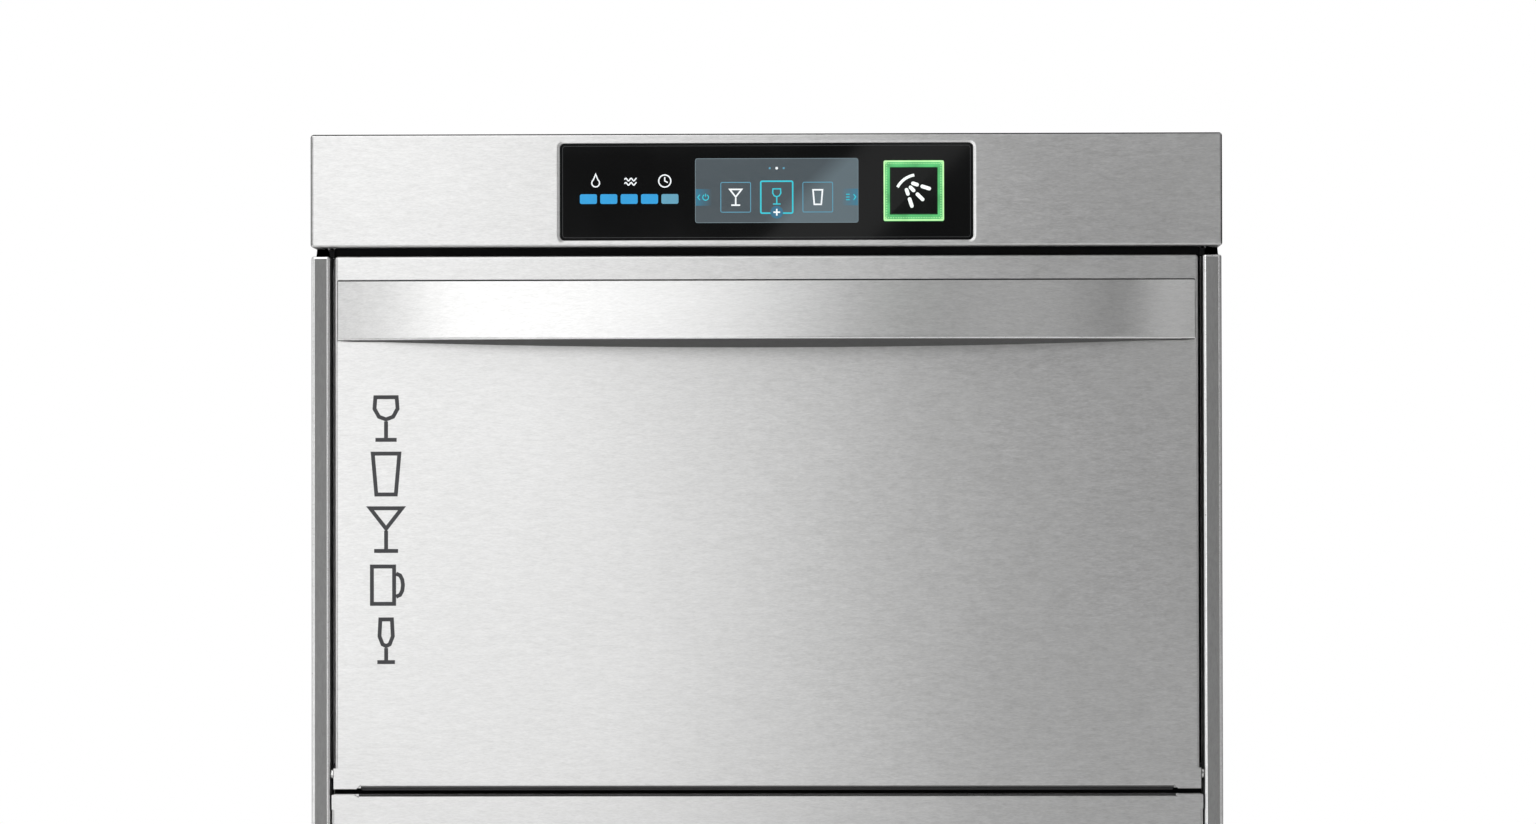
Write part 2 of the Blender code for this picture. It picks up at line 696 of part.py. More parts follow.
def make_arm(name, low, high, half_width, hub_radius, radius, jets_up):
    """A hollow arm with tapered wings, a hub that turns on the spindle, and slots on one side."""
    cx, cy = ARM_CENTRE
    tip = half_width * 0.62
    outline = [
        (cx - radius, cy - tip), (cx - hub_radius, cy - half_width), (cx + hub_radius, cy - half_width),
        (cx + radius, cy - tip), (cx + radius, cy + tip), (cx + hub_radius, cy + half_width),
        (cx - hub_radius, cy + half_width), (cx - radius, cy + tip),
    ]
    wall = 0.0015
    hub_rise = 0.0007
    arm = prism(outline, "z", low, high, name, "steel")
    fuse(arm, rod("z", ARM_CENTRE, hub_radius, low - hub_rise, high + hub_rise))
    channel = [
        (cx - radius + 0.004, cy - tip + wall), (cx + radius - 0.004, cy - tip + wall),
        (cx + radius - 0.004, cy + tip - wall), (cx - radius + 0.004, cy + tip - wall),
    ]
    cut(arm, prism(channel, "z", low + wall, high - wall))
    cut(arm, rod("z", ARM_CENTRE, ARM_BORE, low - CLEAR, high + CLEAR))
    slot_low, slot_high = ((low + high) / 2, high + CLEAR) if jets_up else (low - CLEAR, (low + high) / 2)
    count = 4
    for wing in (-1, 1):
        for index in range(count):
            x = cx + wing * (0.060 + (radius - 0.085) * index / (count - 1))
            cut(arm, block((x - 0.0012, cy - tip * 0.6, slot_low), (x + 0.0012, cy + tip * 0.6, slot_high)))
    joint(name + "_axis", (cx, cy, (low + high) / 2), arm)


def make_nut(name, low, high):
    nut = rod("z", ARM_CENTRE, 0.0150, low, high, name, "blue_plastic", 8)
    cut(nut, rod("z", ARM_CENTRE, ARM_BORE, low - CLEAR, high + CLEAR))


# ---- machinery under the tank ---------------------------------------------------------------------
def make_wash_pump():
    at = (PUMP_Y, PUMP_Z)
    radius, half = PUMP_RADIUS, 0.0225
    housing = rod("x", at, radius, -half, half, "wash_pump_housing", "black_plastic")
    outlet_z = PUMP_OUTLET_Z
    fuse(housing, rod("x", at, 0.0200, half - 0.002, half + 0.0250, steps=COARSE))
    fuse(housing, rod("y", (0.0, outlet_z), 0.0125, PUMP_Y, PUMP_Y + 0.0560, steps=COARSE))
    cut(housing, rod("x", at, radius - 0.004, -half + 0.004, half - 0.004))
    cut(housing, rod("x", at, 0.0160, half - 0.010, half + 0.04, steps=COARSE))
    cut(housing, rod("y", (0.0, outlet_z), 0.0090, PUMP_Y + 0.005, PUMP_Y + 0.08, steps=COARSE))
    cut(housing, rod("x", at, 0.0080, -half - CLEAR, -half + CLEAR, steps=COARSE))

    profile = [
        (0.0, 0.010), (0.0110, 0.010), (0.0110, -0.010), (0.0380, -0.010),
        (0.0380, -0.0130), (0.0060, -0.0130), (0.0060, -0.0380), (0.0, -0.0380),
    ]
    wheel = turned(profile, "x", at, "wash_pump_impeller", "grey_plastic")
    for vane in range(4):
        angle = math.pi / 2 * vane
        across = (math.cos(angle), math.sin(angle))
        low = [PUMP_Y + 0.0083 * across[0] - 0.0012, PUMP_Z + 0.0083 * across[1] - 0.0012]
        high = [PUMP_Y + 0.0350 * across[0] + 0.0012, PUMP_Z + 0.0350 * across[1] + 0.0012]
        corners = [sorted(pair) for pair in zip(low, high)]
        fuse(wheel, block((-0.0110, corners[0][0], corners[1][0]), (0.0050, corners[0][1], corners[1][1])))
    joint("wash_pump_shaft", (0.0, *at), wheel)

    start = -half - 0.003
    profile = [
        (0.0, start - 0.020), (0.0080, start - 0.020), (0.0080, start), (0.0380, start),
        (0.0440, start - 0.006), (0.0440, start - 0.110), (0.0380, start - 0.120), (0.0, start - 0.120),
    ]
    turned(profile, "x", at, "wash_pump_motor", "motor_paint")


def make_suction_hose():
    x, y = SUCTION_HOLE
    route = bent([(0.0480, y, PUMP_Z), (x, y, PUMP_Z), (x, y, TANK_BOTTOM - GAP)], 0.038, 5)
    pipe(route, 0.0180, 0.0150, "suction_hose", "rubber")


def make_riser_pipe():
    """From the pump back under the tank, up behind the chamber and over to the upper spindle."""
    cy = ARM_CENTRE[1]
    top = 0.7080
    behind = 0.2960
    start = PUMP_Y + 0.0563
    z = PUMP_OUTLET_Z
    end = CHAMBER_TOP + 0.0086      # just above the upper spindle
    corners = [(0.0, start, z), (0.0, behind, z), (0.0, behind, top), (0.0, cy, top), (0.0, cy, end)]
    route = bent(corners, 0.0140, 4)
    riser = pipe(route, RISER_RADIUS, 0.0085, "riser_pipe", "bright_steel")
    fuse(riser, ring("z", ARM_CENTRE, 0.0070, 0.0095, z + 0.0095, TANK_BOTTOM - GAP, steps=COARSE))


def make_boiler():
    at = (BOILER_X, PUMP_Z)
    outer, wall = 0.0500, 0.0015
    front, rear = -0.1600, 0.1600
    profile = [
        (outer, front), (outer, rear - 0.012), (outer - 0.010, rear), (0.0, rear), (0.0, rear - wall),
        (outer - 0.011, rear - wall), (outer - wall, rear - 0.013), (outer - wall, front),
    ]
    turned(profile, "y", at, "boiler", "steel", closed=True)
    flange = rod("y", at, outer, front - 0.0063, front - GAP, "boiler_heater", "bright_steel")
    x, z = at
    left, right, start, end = x - 0.020, x + 0.020, front - 0.002, 0.090
    route = bent([(left, start, z), (left, end, z), (right, end, z), (right, start, z)], 0.015)
    fuse(flange, pipe(route, HEATER_RADIUS, sides=10))


def make_small_pump(name, at, start, length, radius, nozzle):
    """A motor with a narrower pump head at its front and an inlet nozzle."""
    head, narrow, end = start + 0.030, radius * 0.85, start + length
    profile = [
        (0.0, start - nozzle), (0.0080, start - nozzle), (0.0080, start), (narrow, start), (narrow, head),
        (radius, head), (radius, end), (0.0, end),
    ]
    turned(profile, "y", at, name, "black_plastic", COARSE)


def make_drain_line():
    x, y = FILTER_CENTRE
    z = DRAIN_Z
    front = -0.0330
    route = bent([(x, y, TANK_BOTTOM - GAP), (x, y, z), (DRAIN_X, y + 0.055, z), (DRAIN_X, front, z)], 0.024)
    pipe(route, HOSE_RADIUS, HOSE_BORE, "drain_hose", "rubber")
    make_small_pump("drain_pump", (DRAIN_X, z), -0.0200, 0.0900, 0.0320, 0.0127)
    outlet = [(DRAIN_X, y, z) for y in (0.0703, 0.180, 0.312)]
    pipe(outlet, HOSE_RADIUS, HOSE_BORE, "drain_outlet", "grey_plastic")


def make_dosing_pump(name, x):
    body = block((x - 0.024, -0.240, 0.075), (x + 0.024, -0.190, 0.130), name, "grey_plastic")
    fuse(body, rod("y", (x, 0.1025), 0.0200, -0.2560, -0.2390, steps=COARSE))


def make_inlet_valve():
    """Valve body with its solenoid, and the threaded inlet that comes out through the niche panel."""
    half = 0.017
    valve = block(
        (INLET_X - half, NICHE_Y - 0.060, INLET_Z - half), (INLET_X + half, NICHE_Y - 0.004, INLET_Z + half),
        "inlet_valve", "blue_plastic",
    )
    inlet = rod("y", (INLET_X, INLET_Z), 0.0132, NICHE_Y - 0.010, NICHE_Y + 0.026, steps=COARSE)
    coil = rod("z", (INLET_X, NICHE_Y - 0.036), 0.0140, INLET_Z + 0.010, INLET_Z + 0.035, steps=COARSE)
    fuse(valve, inlet, coil)
    cut(valve, rod("y", (INLET_X, INLET_Z), 0.0095, NICHE_Y - 0.002, NICHE_Y + 0.04, steps=COARSE))


def make_electrics_box():
    low, high = (-0.130, 0.085, TRAY_BOTTOM + 0.003), (0.130, 0.215, 0.128)
    wall = 0.002
    box = block(low, high, "electrics_box", "grey_plastic")
    hollow = block([a + wall for a in low], [a - wall for a in high])
    entry = rod("y", (GLAND_X, GLAND_Z), 0.009, high[1] - CLEAR, high[1] + CLEAR, steps=COARSE)
    cut(box, hollow, entry)


def make_cable_gland():
    profile = [
        (0.0040, NICHE_Y - 0.012), (0.0080, NICHE_Y - 0.012), (0.0080, NICHE_Y + SHEET + GAP),
        (0.0120, NICHE_Y + SHEET + GAP), (0.0120, NICHE_Y + 0.009), (0.0095, NICHE_Y + 0.018),
        (0.0060, NICHE_Y + 0.024), (0.0040, NICHE_Y + 0.024),
    ]
    turned(profile, "y", (GLAND_X, GLAND_Z), "cable_gland", "black_plastic", COARSE, closed=True)


# ---- the whole machine ---------------------------------------------------------------------------
def main():
    clear_scene()
    make_materials()

    make_top_cover()
    make_side_panel("left_side_panel", -1)
    make_side_panel("right_side_panel", 1)
    make_rear_panel()
    make_connection_panel()
    make_lower_front_panel()
    make_base_tray()
    for row, y in (("front", FOOT_FRONT_Y), ("rear", FOOT_REAR_Y)):
        for word, x in (("left", -FOOT_X), ("right", FOOT_X)):
            make_foot("foot_" + row + "_" + word, x, y)

    make_control_housing()
    make_control_glass()
    make_display()
    make_start_button()
    make_door()

    make_chamber_front_frame()
    make_chamber_shell()
    make_chamber_rear_wall()
    make_wash_tank()
    make_rack_rail("rack_rail_left", -1)
    make_rack_rail("rack_rail_right", 1)
    make_strainer("strainer_left", -1)
    make_strainer("strainer_right", 1)
    make_filter_cylinder()
    make_tank_heater()
    make_spindles()
    make_arm("lower_wash_arm", 0.2825, 0.2965, 0.016, 0.024, ARM_RADIUS, True)
    make_arm("lower_rinse_arm", 0.3000, 0.3090, 0.0084, 0.0150, ARM_RADIUS - 0.010, True)
    make_arm("upper_wash_arm", 0.6530, 0.6670, 0.016, 0.024, ARM_RADIUS, False)
    make_arm("upper_rinse_arm", 0.6405, 0.6495, 0.0084, 0.0150, ARM_RADIUS - 0.010, False)
    make_nut("lower_arm_nut", 0.3110, 0.3200)
    make_nut("upper_arm_nut", 0.6290, 0.6380)

    make_wash_pump()
    make_suction_hose()
    make_riser_pipe()
    make_boiler()
    make_small_pump("rinse_pump", (BOILER_X, PUMP_Z), 0.1700, 0.0850, 0.0320, 0.0)
    make_drain_line()
    make_dosing_pump("detergent_pump", 0.045)
    make_dosing_pump("rinse_aid_pump", 0.110)
    make_inlet_valve()
    make_electrics_box()
    make_cable_gland()


main()
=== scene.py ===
"""The looks of the glass washer: its shells, controls, wash gear and materials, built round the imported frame.

Units are metres, or millimetres where mm() says so. +Z is up and the front faces -Y.
"""
import math

import bmesh
import bpy
from mathutils import Matrix, Vector


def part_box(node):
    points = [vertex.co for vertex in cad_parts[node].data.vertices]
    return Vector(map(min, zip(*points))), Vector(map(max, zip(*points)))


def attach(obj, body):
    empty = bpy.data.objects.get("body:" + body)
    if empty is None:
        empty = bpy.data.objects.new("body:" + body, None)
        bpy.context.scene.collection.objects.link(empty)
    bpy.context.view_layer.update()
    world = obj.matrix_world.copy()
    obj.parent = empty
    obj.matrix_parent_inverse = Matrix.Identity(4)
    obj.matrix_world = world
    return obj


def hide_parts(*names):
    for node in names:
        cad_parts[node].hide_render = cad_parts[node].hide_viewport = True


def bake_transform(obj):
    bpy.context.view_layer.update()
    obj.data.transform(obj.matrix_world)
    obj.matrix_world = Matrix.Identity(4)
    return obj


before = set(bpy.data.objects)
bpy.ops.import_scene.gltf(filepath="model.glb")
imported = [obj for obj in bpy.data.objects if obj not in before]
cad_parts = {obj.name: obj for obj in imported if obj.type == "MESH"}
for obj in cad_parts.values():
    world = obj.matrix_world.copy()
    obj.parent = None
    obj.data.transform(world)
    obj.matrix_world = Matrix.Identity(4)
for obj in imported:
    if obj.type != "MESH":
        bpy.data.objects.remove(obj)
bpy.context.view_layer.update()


# ---- sizes ----
def middle(node, axis):
    """The middle of a CAD node, as its two coordinates across an axis."""
    x, y, z = [(a + b) / 2 for a, b in zip(*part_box(node))]
    return {"x": (y, z), "y": (x, z), "z": (x, y)}[axis]


def half_width(node):
    low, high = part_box(node)
    return (high.x - low.x) / 2


def measured(node, axis):
    """A CAD node's two corners, its middle across an axis and half its width."""
    return *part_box(node), middle(node, axis), half_width(node)


def inner_outer(node, side):
    """The x of a node's inner and outer end, on one side of the machine."""
    low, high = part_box(node)
    return (low.x, high.x) if side > 0 else (high.x, low.x)


COVER_LOW, COVER_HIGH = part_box("top_cover")
SKIN_LOW, SKIN_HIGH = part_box("door_outer_skin")
GLASS_LOW, GLASS_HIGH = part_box("control_glass")
RING_LOW, RING_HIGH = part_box("start_light_ring")
HANDLE_LOW, HANDLE_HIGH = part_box("door_handle")
DISPLAY_LOW, DISPLAY_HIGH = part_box("display_module")
HINGE = middle("hinge_pin_right", "x")
ARM_CENTRE = middle("lower_wash_arm", "z")
DISPLAY_CENTRE = middle("display_module", "y")
BUTTON = middle("start_light_ring", "y")
TILE_HEIGHT = DISPLAY_CENTRE[1] - 0.0044    # the middle of the display's tiles

MM = 0.001                      # a millimetre in metres
FRONT = COVER_LOW.y
SHEET = 0.0015                  # thickness of the folded sheet
WALL = Vector((SHEET, SHEET, SHEET))
BEND = 0.0022                   # outer radius of its bends
HANDLE_SHEET = 0.0012           # thickness of the handle strip
HAIR = 0.0003                   # clearance between neighbours
TAB_OUT = 0.001                 # how far the door's corner tabs stand out past its sides
TAB_DOWN = 0.0015               # and below its lower edge
PAST = 0.01                     # how far a cutter reaches past what it cuts
PRINT = 0.00005                 # thickness of a printed layer
SMOOTH_ANGLE = math.radians(35)


# ---- shapes ----
def on_axis(axis, across, along):
    """A point from its two coordinates across an axis and its place along it."""
    a, b = across
    return Vector({"x": (along, a, b), "y": (a, along, b), "z": (a, b, along)}[axis])


def section(outline, axis, along):
    return [on_axis(axis, point, along) for point in outline]


def mm(start, *points, way=1):
    """Profile points given in millimetres, as (radius, step along the axis from start)."""
    return [(radius * MM, start + way * step * MM) for radius, step in points]


def box(low, high):
    bm = bmesh.new()
    bmesh.ops.create_cube(bm, size=1.0)
    low, high = Vector(low), Vector(high)
    matrix = Matrix.Translation((low + high) / 2) @ Matrix.Diagonal((*(high - low), 1.0))
    bmesh.ops.transform(bm, matrix=matrix, verts=bm.verts)
    return bm


def rounded(bm, radius, segments=4, pick=lambda edge: True):
    edges = [edge for edge in bm.edges if pick(edge)]
    bmesh.ops.bevel(bm, geom=edges, offset=radius, segments=segments, profile=0.5, affect="EDGES",
                    clamp_overlap=True)
    return bm


def arc(centre, radius, start, end, steps):
    """Points on an arc, with its angles in degrees."""
    angles = [math.radians(start + (end - start) * step / steps) for step in range(steps + 1)]
    return [(centre[0] + radius * math.cos(a), centre[1] + radius * math.sin(a)) for a in angles]


def circle(centre, radius, count, first=0.0):
    return arc(centre, radius, first, first + 360, count)[:-1]


def wavy(centre, count, radius_at):
    """A closed outline whose radius depends on the step and its angle."""
    points = []
    for step in range(count):
        angle = 2 * math.pi * step / count
        out = radius_at(step, angle)
        points.append((centre[0] + out * math.cos(angle), centre[1] + out * math.sin(angle)))
    return points


def rounded_rectangle(low, high, radius, steps=5):
    """Corners rounded, from the right-hand lower corner counter-clockwise."""
    left, right, bottom, top = low[0] + radius, high[0] - radius, low[1] + radius, high[1] - radius
    points = []
    for a, b, start in ((right, bottom, -90), (right, top, 0), (left, top, 90), (left, bottom, 180)):
        points.extend(arc((a, b), radius, start, start + 90, steps))
    return points


def square(centre, half, radius, steps=4):
    (a, b) = centre
    return rounded_rectangle((a - half, b - half), (a + half, b + half), radius, steps)


def face(low, high):
    """The corners of a box seen from the front."""
    return (low.x, low.z), (high.x, high.z)


def grown(low, high, amount):
    return (low[0] - amount, low[1] - amount), (high[0] + amount, high[1] + amount)


def stepped(corners, radius, front, rows, steps=5):
    """Upright rounded rectangles for loft, one for each row of (depth behind front, inset)."""
    return [section(rounded_rectangle(*grown(*corners, -inset), radius - inset, steps), "y", front + depth)
            for depth, inset in rows]


def fillet(path, radius, steps=5):
    """An open path with its inner corners rounded."""
    route = [Vector(path[0])]
    for before, corner, after in zip(path, path[1:], path[2:]):
        corner = Vector(corner)
        back = (Vector(before) - corner).normalized()
        ahead = (Vector(after) - corner).normalized()
        half = back.angle(ahead) / 2
        centre = corner + (back + ahead).normalized() * (radius / math.sin(half))
        start = corner + back * (radius / math.tan(half)) - centre
        end = corner + ahead * (radius / math.tan(half)) - centre
        sweep = start.angle(end)
        for step in range(steps + 1):
            share = step / steps
            mixed = start * math.sin((1 - share) * sweep) + end * math.sin(share * sweep)
            route.append(centre + mixed / math.sin(sweep))
    route.append(Vector(path[-1]))
    return route


def offset(path, distance, closed=False):
    """The line at a distance to the path's left, with mitred corners."""
    points = [Vector(point) for point in path]
    count = len(points)
    moved = []
    for index, point in enumerate(points):
        sides = []
        for first, last in ((index - 1, index), (index, index + 1)):
            if closed or (0 <= first and last < count):
                run = (points[last % count] - points[first % count]).normalized()
                sides.append(Vector((-run.y, run.x)))
        between = sum(sides, Vector((0.0, 0.0))).normalized()
        moved.append(point + between * (distance / between.dot(sides[0])))
    return moved


def thick(path, thickness):
    """The closed outline of a line with thickness on its left."""
    return [*(Vector(point) for point in path), *reversed(offset(path, thickness))]


def loft(sections, ring=False):
    """Loops of equally many points joined in order. A ring joins its last loop to its first."""
    bm = bmesh.new()
    loops = [[bm.verts.new(point) for point in loop] for loop in sections]
    pairs = list(zip(loops, loops[1:]))
    if ring:
        pairs.append((loops[-1], loops[0]))
    else:
        bm.faces.new(loops[0])
        bm.faces.new(loops[-1])
    for here, there in pairs:
        for index in range(len(here)):
            after = (index + 1) % len(here)
            bm.faces.new((here[index], here[after], there[after], there[index]))
    return bm


def prism(outline, axis, start, end):
    return loft([section(outline, axis, along) for along in (start, end)])


def turned(profile, axis, centre, steps=48, closed=False):
    """A profile of (radius, place along the axis) spun round the axis through centre."""
    bm = bmesh.new()
    verts = [bm.verts.new(on_axis(axis, (centre[0] + radius, centre[1]), along)) for radius, along in profile]
    pairs = list(zip(verts, verts[1:]))
    if closed:
        pairs.append((verts[-1], verts[0]))
    edges = [bm.edges.new(pair) for pair in pairs]
    bmesh.ops.spin(bm, geom=verts + edges, cent=on_axis(axis, centre, 0.0),
                   axis=on_axis(axis, (0.0, 0.0), 1.0), angle=2 * math.pi, steps=steps, use_merge=True)
    bmesh.ops.remove_doubles(bm, verts=bm.verts, dist=1e-6)
    return bm


def disc(axis, centre, radius, start, end, edge=0.0004, steps=32):
    """A short cylinder with softened rims."""
    way = 1 if end > start else -1
    profile = [(0.0, start), (radius - edge, start), (radius, start + way * edge)]
    profile += [(radius, end - way * edge), (radius - edge, end), (0.0, end)]
    return turned(profile, axis, centre, steps)


def sleeve(axis, centre, inner, outer, start, end, edge=0.0006):
    """A short tube with softened outer rims."""
    profile = [(inner, start), (outer - edge, start), (outer, start + edge), (outer, end - edge),
               (outer - edge, end), (inner, end)]
    return turned(profile, axis, centre, closed=True)


def tube(points, radius, sides=16):
    """A round section swept along points, with its ends closed."""
    points = [Vector(point) for point in points]
    across = (points[1] - points[0]).orthogonal().normalized()
    loops = []
    for index, point in enumerate(points):
        run = (points[min(index + 1, len(points) - 1)] - points[max(index - 1, 0)]).normalized()
        across = (across - run * across.dot(run)).normalized()
        other = run.cross(across)
        loops.append([point + (across * a + other * b) * radius for a, b in circle((0.0, 0.0), 1.0, sides)])
    return loft(loops)


def pipe(route, bend, radius, sides=16, steps=8):
    return tube(fillet(route, bend, steps), radius, sides)


def plate(outline, front, thickness=PRINT):
    """A thin upright plate facing the front."""
    return prism(outline, "y", front, front + thickness)


def hoop(outer, inner, front, thickness=PRINT):
    """A plate between two closed outlines with equally many points."""
    back = front + thickness
    loops = ((outer, front), (outer, back), (inner, back), (inner, front))
    return loft([section(outline, "y", along) for outline, along in loops], ring=True)


def stroke(points, width, front, closed=False):
    """A drawn line of even width, as a print."""
    half = width / 2
    if closed:
        return hoop(offset(points, -half, True), offset(points, half, True), front)
    return plate([*offset(points, -half), *reversed(offset(points, half))], front)


def into_mesh(shape, name="part"):
    """The shape as mesh data, with its faces turned outwards. The shape itself is used up."""
    bmesh.ops.recalc_face_normals(shape, faces=shape.faces)
    mesh = bpy.data.meshes.new(name)
    shape.to_mesh(mesh)
    shape.free()
    return mesh


def linked(name, data):
    obj = bpy.data.objects.new(name, data)
    bpy.context.scene.collection.objects.link(obj)
    return obj


def joined(*meshes):
    """Several meshes as one shape, each still a body of its own. The meshes are used up."""
    whole = bmesh.new()
    for mesh in meshes:
        whole.from_mesh(mesh)
        bpy.data.meshes.remove(mesh)
    return whole


def combined(operation, *shapes):
    """An exact Boolean of closed shapes: the first one with all the others."""
    made = [linked("part", into_mesh(shape)) for shape in shapes]
    for other in made[1:]:
        modifier = made[0].modifiers.new("boolean", "BOOLEAN")
        modifier.operation = operation
        modifier.object = other
    depsgraph = bpy.context.evaluated_depsgraph_get()
    result = joined(bpy.data.meshes.new_from_object(made[0].evaluated_get(depsgraph)))
    for obj in made:
        bpy.data.meshes.remove(obj.data)
    return result


def cut(base, *others):
    return combined("DIFFERENCE", base, *others)


# ---- pieces ----
MATERIALS = {}
SLOTS = {name: name for name in ("bright_steel", "motor_paint", "black_glass", "button", "black_plastic",
                                 "grey_plastic", "blue_plastic", "rubber", "display")}
SLOTS |= dict.fromkeys(("display_edge", "icon_white", "icon_cyan", "icon_outline", "icon_blue", "bar_blue"),
                       "display")
SLOTS |= {"spring_steel": "bright_steel", "glass_border": "black_glass", "green_band": "green_light",
          "green_edge": "green_light"}


def piece(name, shape, material, replaces=None, body="root", soften=0.0):
    """A finished object on its body, from one shape or a list of them. It takes the place of one CAD node.

    Smooth shading keeps the flat faces flat.
    """
    bm = joined(*map(into_mesh, shape)) if isinstance(shape, list) else shape
    bmesh.ops.remove_doubles(bm, verts=bm.verts, dist=1e-7)
    mesh = into_mesh(bm, name)
    mesh.materials.append(MATERIALS[material])
    mesh.shade_smooth()
    mesh.set_sharp_from_angle(angle=SMOOTH_ANGLE)
    obj = linked(name, mesh)
    if soften:
        add_bevel(obj, soften)
    weighted = obj.modifiers.new("normals", "WEIGHTED_NORMAL")
    weighted.keep_sharp = True
    if body:
        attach(obj, body)
    if replaces:
        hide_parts(replaces)
    return obj


def paint(obj, material, chosen):
    """Give the faces that chosen picks, by their centre and normal, a second material."""
    obj.data.materials.append(MATERIALS[material])
    for polygon in obj.data.polygons:
        if chosen(polygon.center, polygon.normal):
            polygon.material_index = len(obj.data.materials) - 1


def add_bevel(obj, width):
    bevel = obj.modifiers.new("edges", "BEVEL")
    bevel.width = width
    bevel.segments = 2
    bevel.limit_method = "ANGLE"
    bevel.angle_limit = SMOOTH_ANGLE
    bevel.miter_outer = "MITER_ARC"


def dress(node, material, soften):
    """Keep a CAD node's shape, with a better finish and softened edges."""
    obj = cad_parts[node]
    obj.data.materials.clear()
    obj.data.materials.append(MATERIALS[material])
    weld = obj.modifiers.new("weld", "WELD")
    weld.merge_threshold = 1e-5
    add_bevel(obj, soften)


# ---- materials ----
class Nodes:
    """Short calls for building one material's node tree."""

    def __init__(self, name):
        self.material = bpy.data.materials.new(name)
        self.material.use_nodes = True
        self.tree = self.material.node_tree
        self.shader = self.tree.nodes["Principled BSDF"]
        MATERIALS[name] = self.material

    def add(self, kind, inputs=(), **settings):
        node = self.tree.nodes.new("ShaderNode" + kind)
        for name, value in settings.items():
            setattr(node, name, value)
        for key, value in dict(inputs).items():
            self.put(node.inputs[key], value)
        return node

    def put(self, socket, value):
        if isinstance(value, bpy.types.NodeSocket):
            self.tree.links.new(value, socket)
        else:
            socket.default_value = value

    def set(self, **values):
        for name, value in values.items():
            self.put(self.shader.inputs[name.replace("_", " ")], value)

    def noise(self, scale, stretch=(1.0, 1.0, 1.0), detail=3.0, roughness=0.5):
        place = self.add("TexCoord").outputs["Object"]
        mapped = self.add("Mapping", {"Vector": place, "Scale": stretch}).outputs["Vector"]
        inputs = {"Vector": mapped, "Scale": scale, "Detail": detail, "Roughness": roughness}
        return self.add("TexNoise", inputs).outputs["Fac"]

    def math(self, operation, first, second):
        return self.add("Math", {0: first, 1: second}, operation=operation).outputs[0]

    def weighted(self, first, second, share):
        """Two values added, the first one weighing share."""
        return self.math("ADD", self.math("MULTIPLY", first, share), self.math("MULTIPLY", second, 1 - share))

    def between(self, value, low, high, start=0.3, end=0.7):
        inputs = {"Value": value, "From Min": start, "From Max": end, "To Min": low, "To Max": high}
        return self.add("MapRange", inputs).outputs["Result"]

    def mixed(self, factor, first, second):
        node = self.add("Mix", data_type="RGBA")
        self.put(node.inputs[0], factor)
        self.put(node.inputs[6], (*first, 1.0))
        self.put(node.inputs[7], (*second, 1.0))
        return node.outputs[2]

    def clouded(self, cloud, dark, light):
        return self.mixed(self.between(cloud, 0.0, 1.0), dark, light)

    def bump(self, height, strength, distance=0.0001):
        inputs = {"Height": height, "Strength": strength, "Distance": distance}
        return self.add("Bump", inputs).outputs["Normal"]


def shades(colour, *shares):
    return [tuple(min(part * share, 1.0) for part in colour) for share in shares]


def brushed(name, grain, tone=0.66, roughness=0.34, contrast=0.15, anisotropy=0.5):
    """Stainless sheet with a fine grain along one axis: long thin streaks over a broader unevenness."""
    nodes = Nodes(name)

    def streak(along, across, detail, rough):
        return nodes.noise(1.0, tuple(along if axis == grain else across for axis in "xyz"), detail, rough)

    fine, broad = streak(330.0, 1700.0, 4.0, 0.65), streak(120.0, 480.0, 3.0, 0.6)
    streaks = nodes.weighted(fine, broad, 0.6)
    dark, light = tone * (1 - contrast), tone * (1 + contrast)
    colour = nodes.clouded(streaks, (dark, dark, dark * 0.992), (light, light, light * 0.996))
    cloud = nodes.noise(6.0, detail=2.0)
    uneven = nodes.weighted(streaks, cloud, 0.7)
    line = tuple(1.0 if axis == grain else 0.01 for axis in "xyz")    # never parallel to a square end face
    normal = nodes.add("NewGeometry").outputs["Normal"]
    tangent = nodes.add("VectorMath", {0: normal, 1: line}, operation="CROSS_PRODUCT").outputs[0]
    nodes.set(
        Base_Color=colour, Metallic=1.0, Roughness=nodes.between(uneven, roughness - 0.05, roughness + 0.05),
        Anisotropic=anisotropy, Tangent=tangent, Normal=nodes.bump(streaks, 0.1),
    )


def satin(name, colour, roughness=0.25, metallic=1.0, scale=40.0, bump=0.05):
    """Metal that is smooth or painted: faint clouds in its tone and gloss, and a fine uneven skin."""
    nodes = Nodes(name)
    cloud = nodes.noise(scale, detail=4.0)
    nodes.set(
        Base_Color=nodes.clouded(cloud, *shades(colour, 0.94, 1.05)), Metallic=metallic,
        Roughness=nodes.between(cloud, roughness - 0.04, roughness + 0.05),
        Normal=nodes.bump(nodes.noise(scale * 18), bump),
    )


def moulded(name, colour, roughness=0.5, bump=0.15, shine=0.5):
    """Moulded plastic or rubber with a spark-eroded grain."""
    nodes = Nodes(name)
    speck = nodes.noise(900.0, detail=2.0)
    cloud = nodes.noise(25.0, detail=3.0)
    nodes.set(
        Base_Color=nodes.clouded(cloud, *shades(colour, 0.88, 1.14)),
        Roughness=nodes.between(speck, roughness - 0.07, roughness + 0.07),
        Normal=nodes.bump(speck, bump), Specular_IOR_Level=shine,
    )


def glossy(name, dark, light, smoothest, roughest, scale):
    """A hard dark shiny face: the back-printed glass, or the start key's cap."""
    nodes = Nodes(name)
    cloud = nodes.noise(scale, detail=2.0)
    nodes.set(
        Base_Color=nodes.clouded(cloud, dark, light), Roughness=nodes.between(cloud, smoothest, roughest),
    )


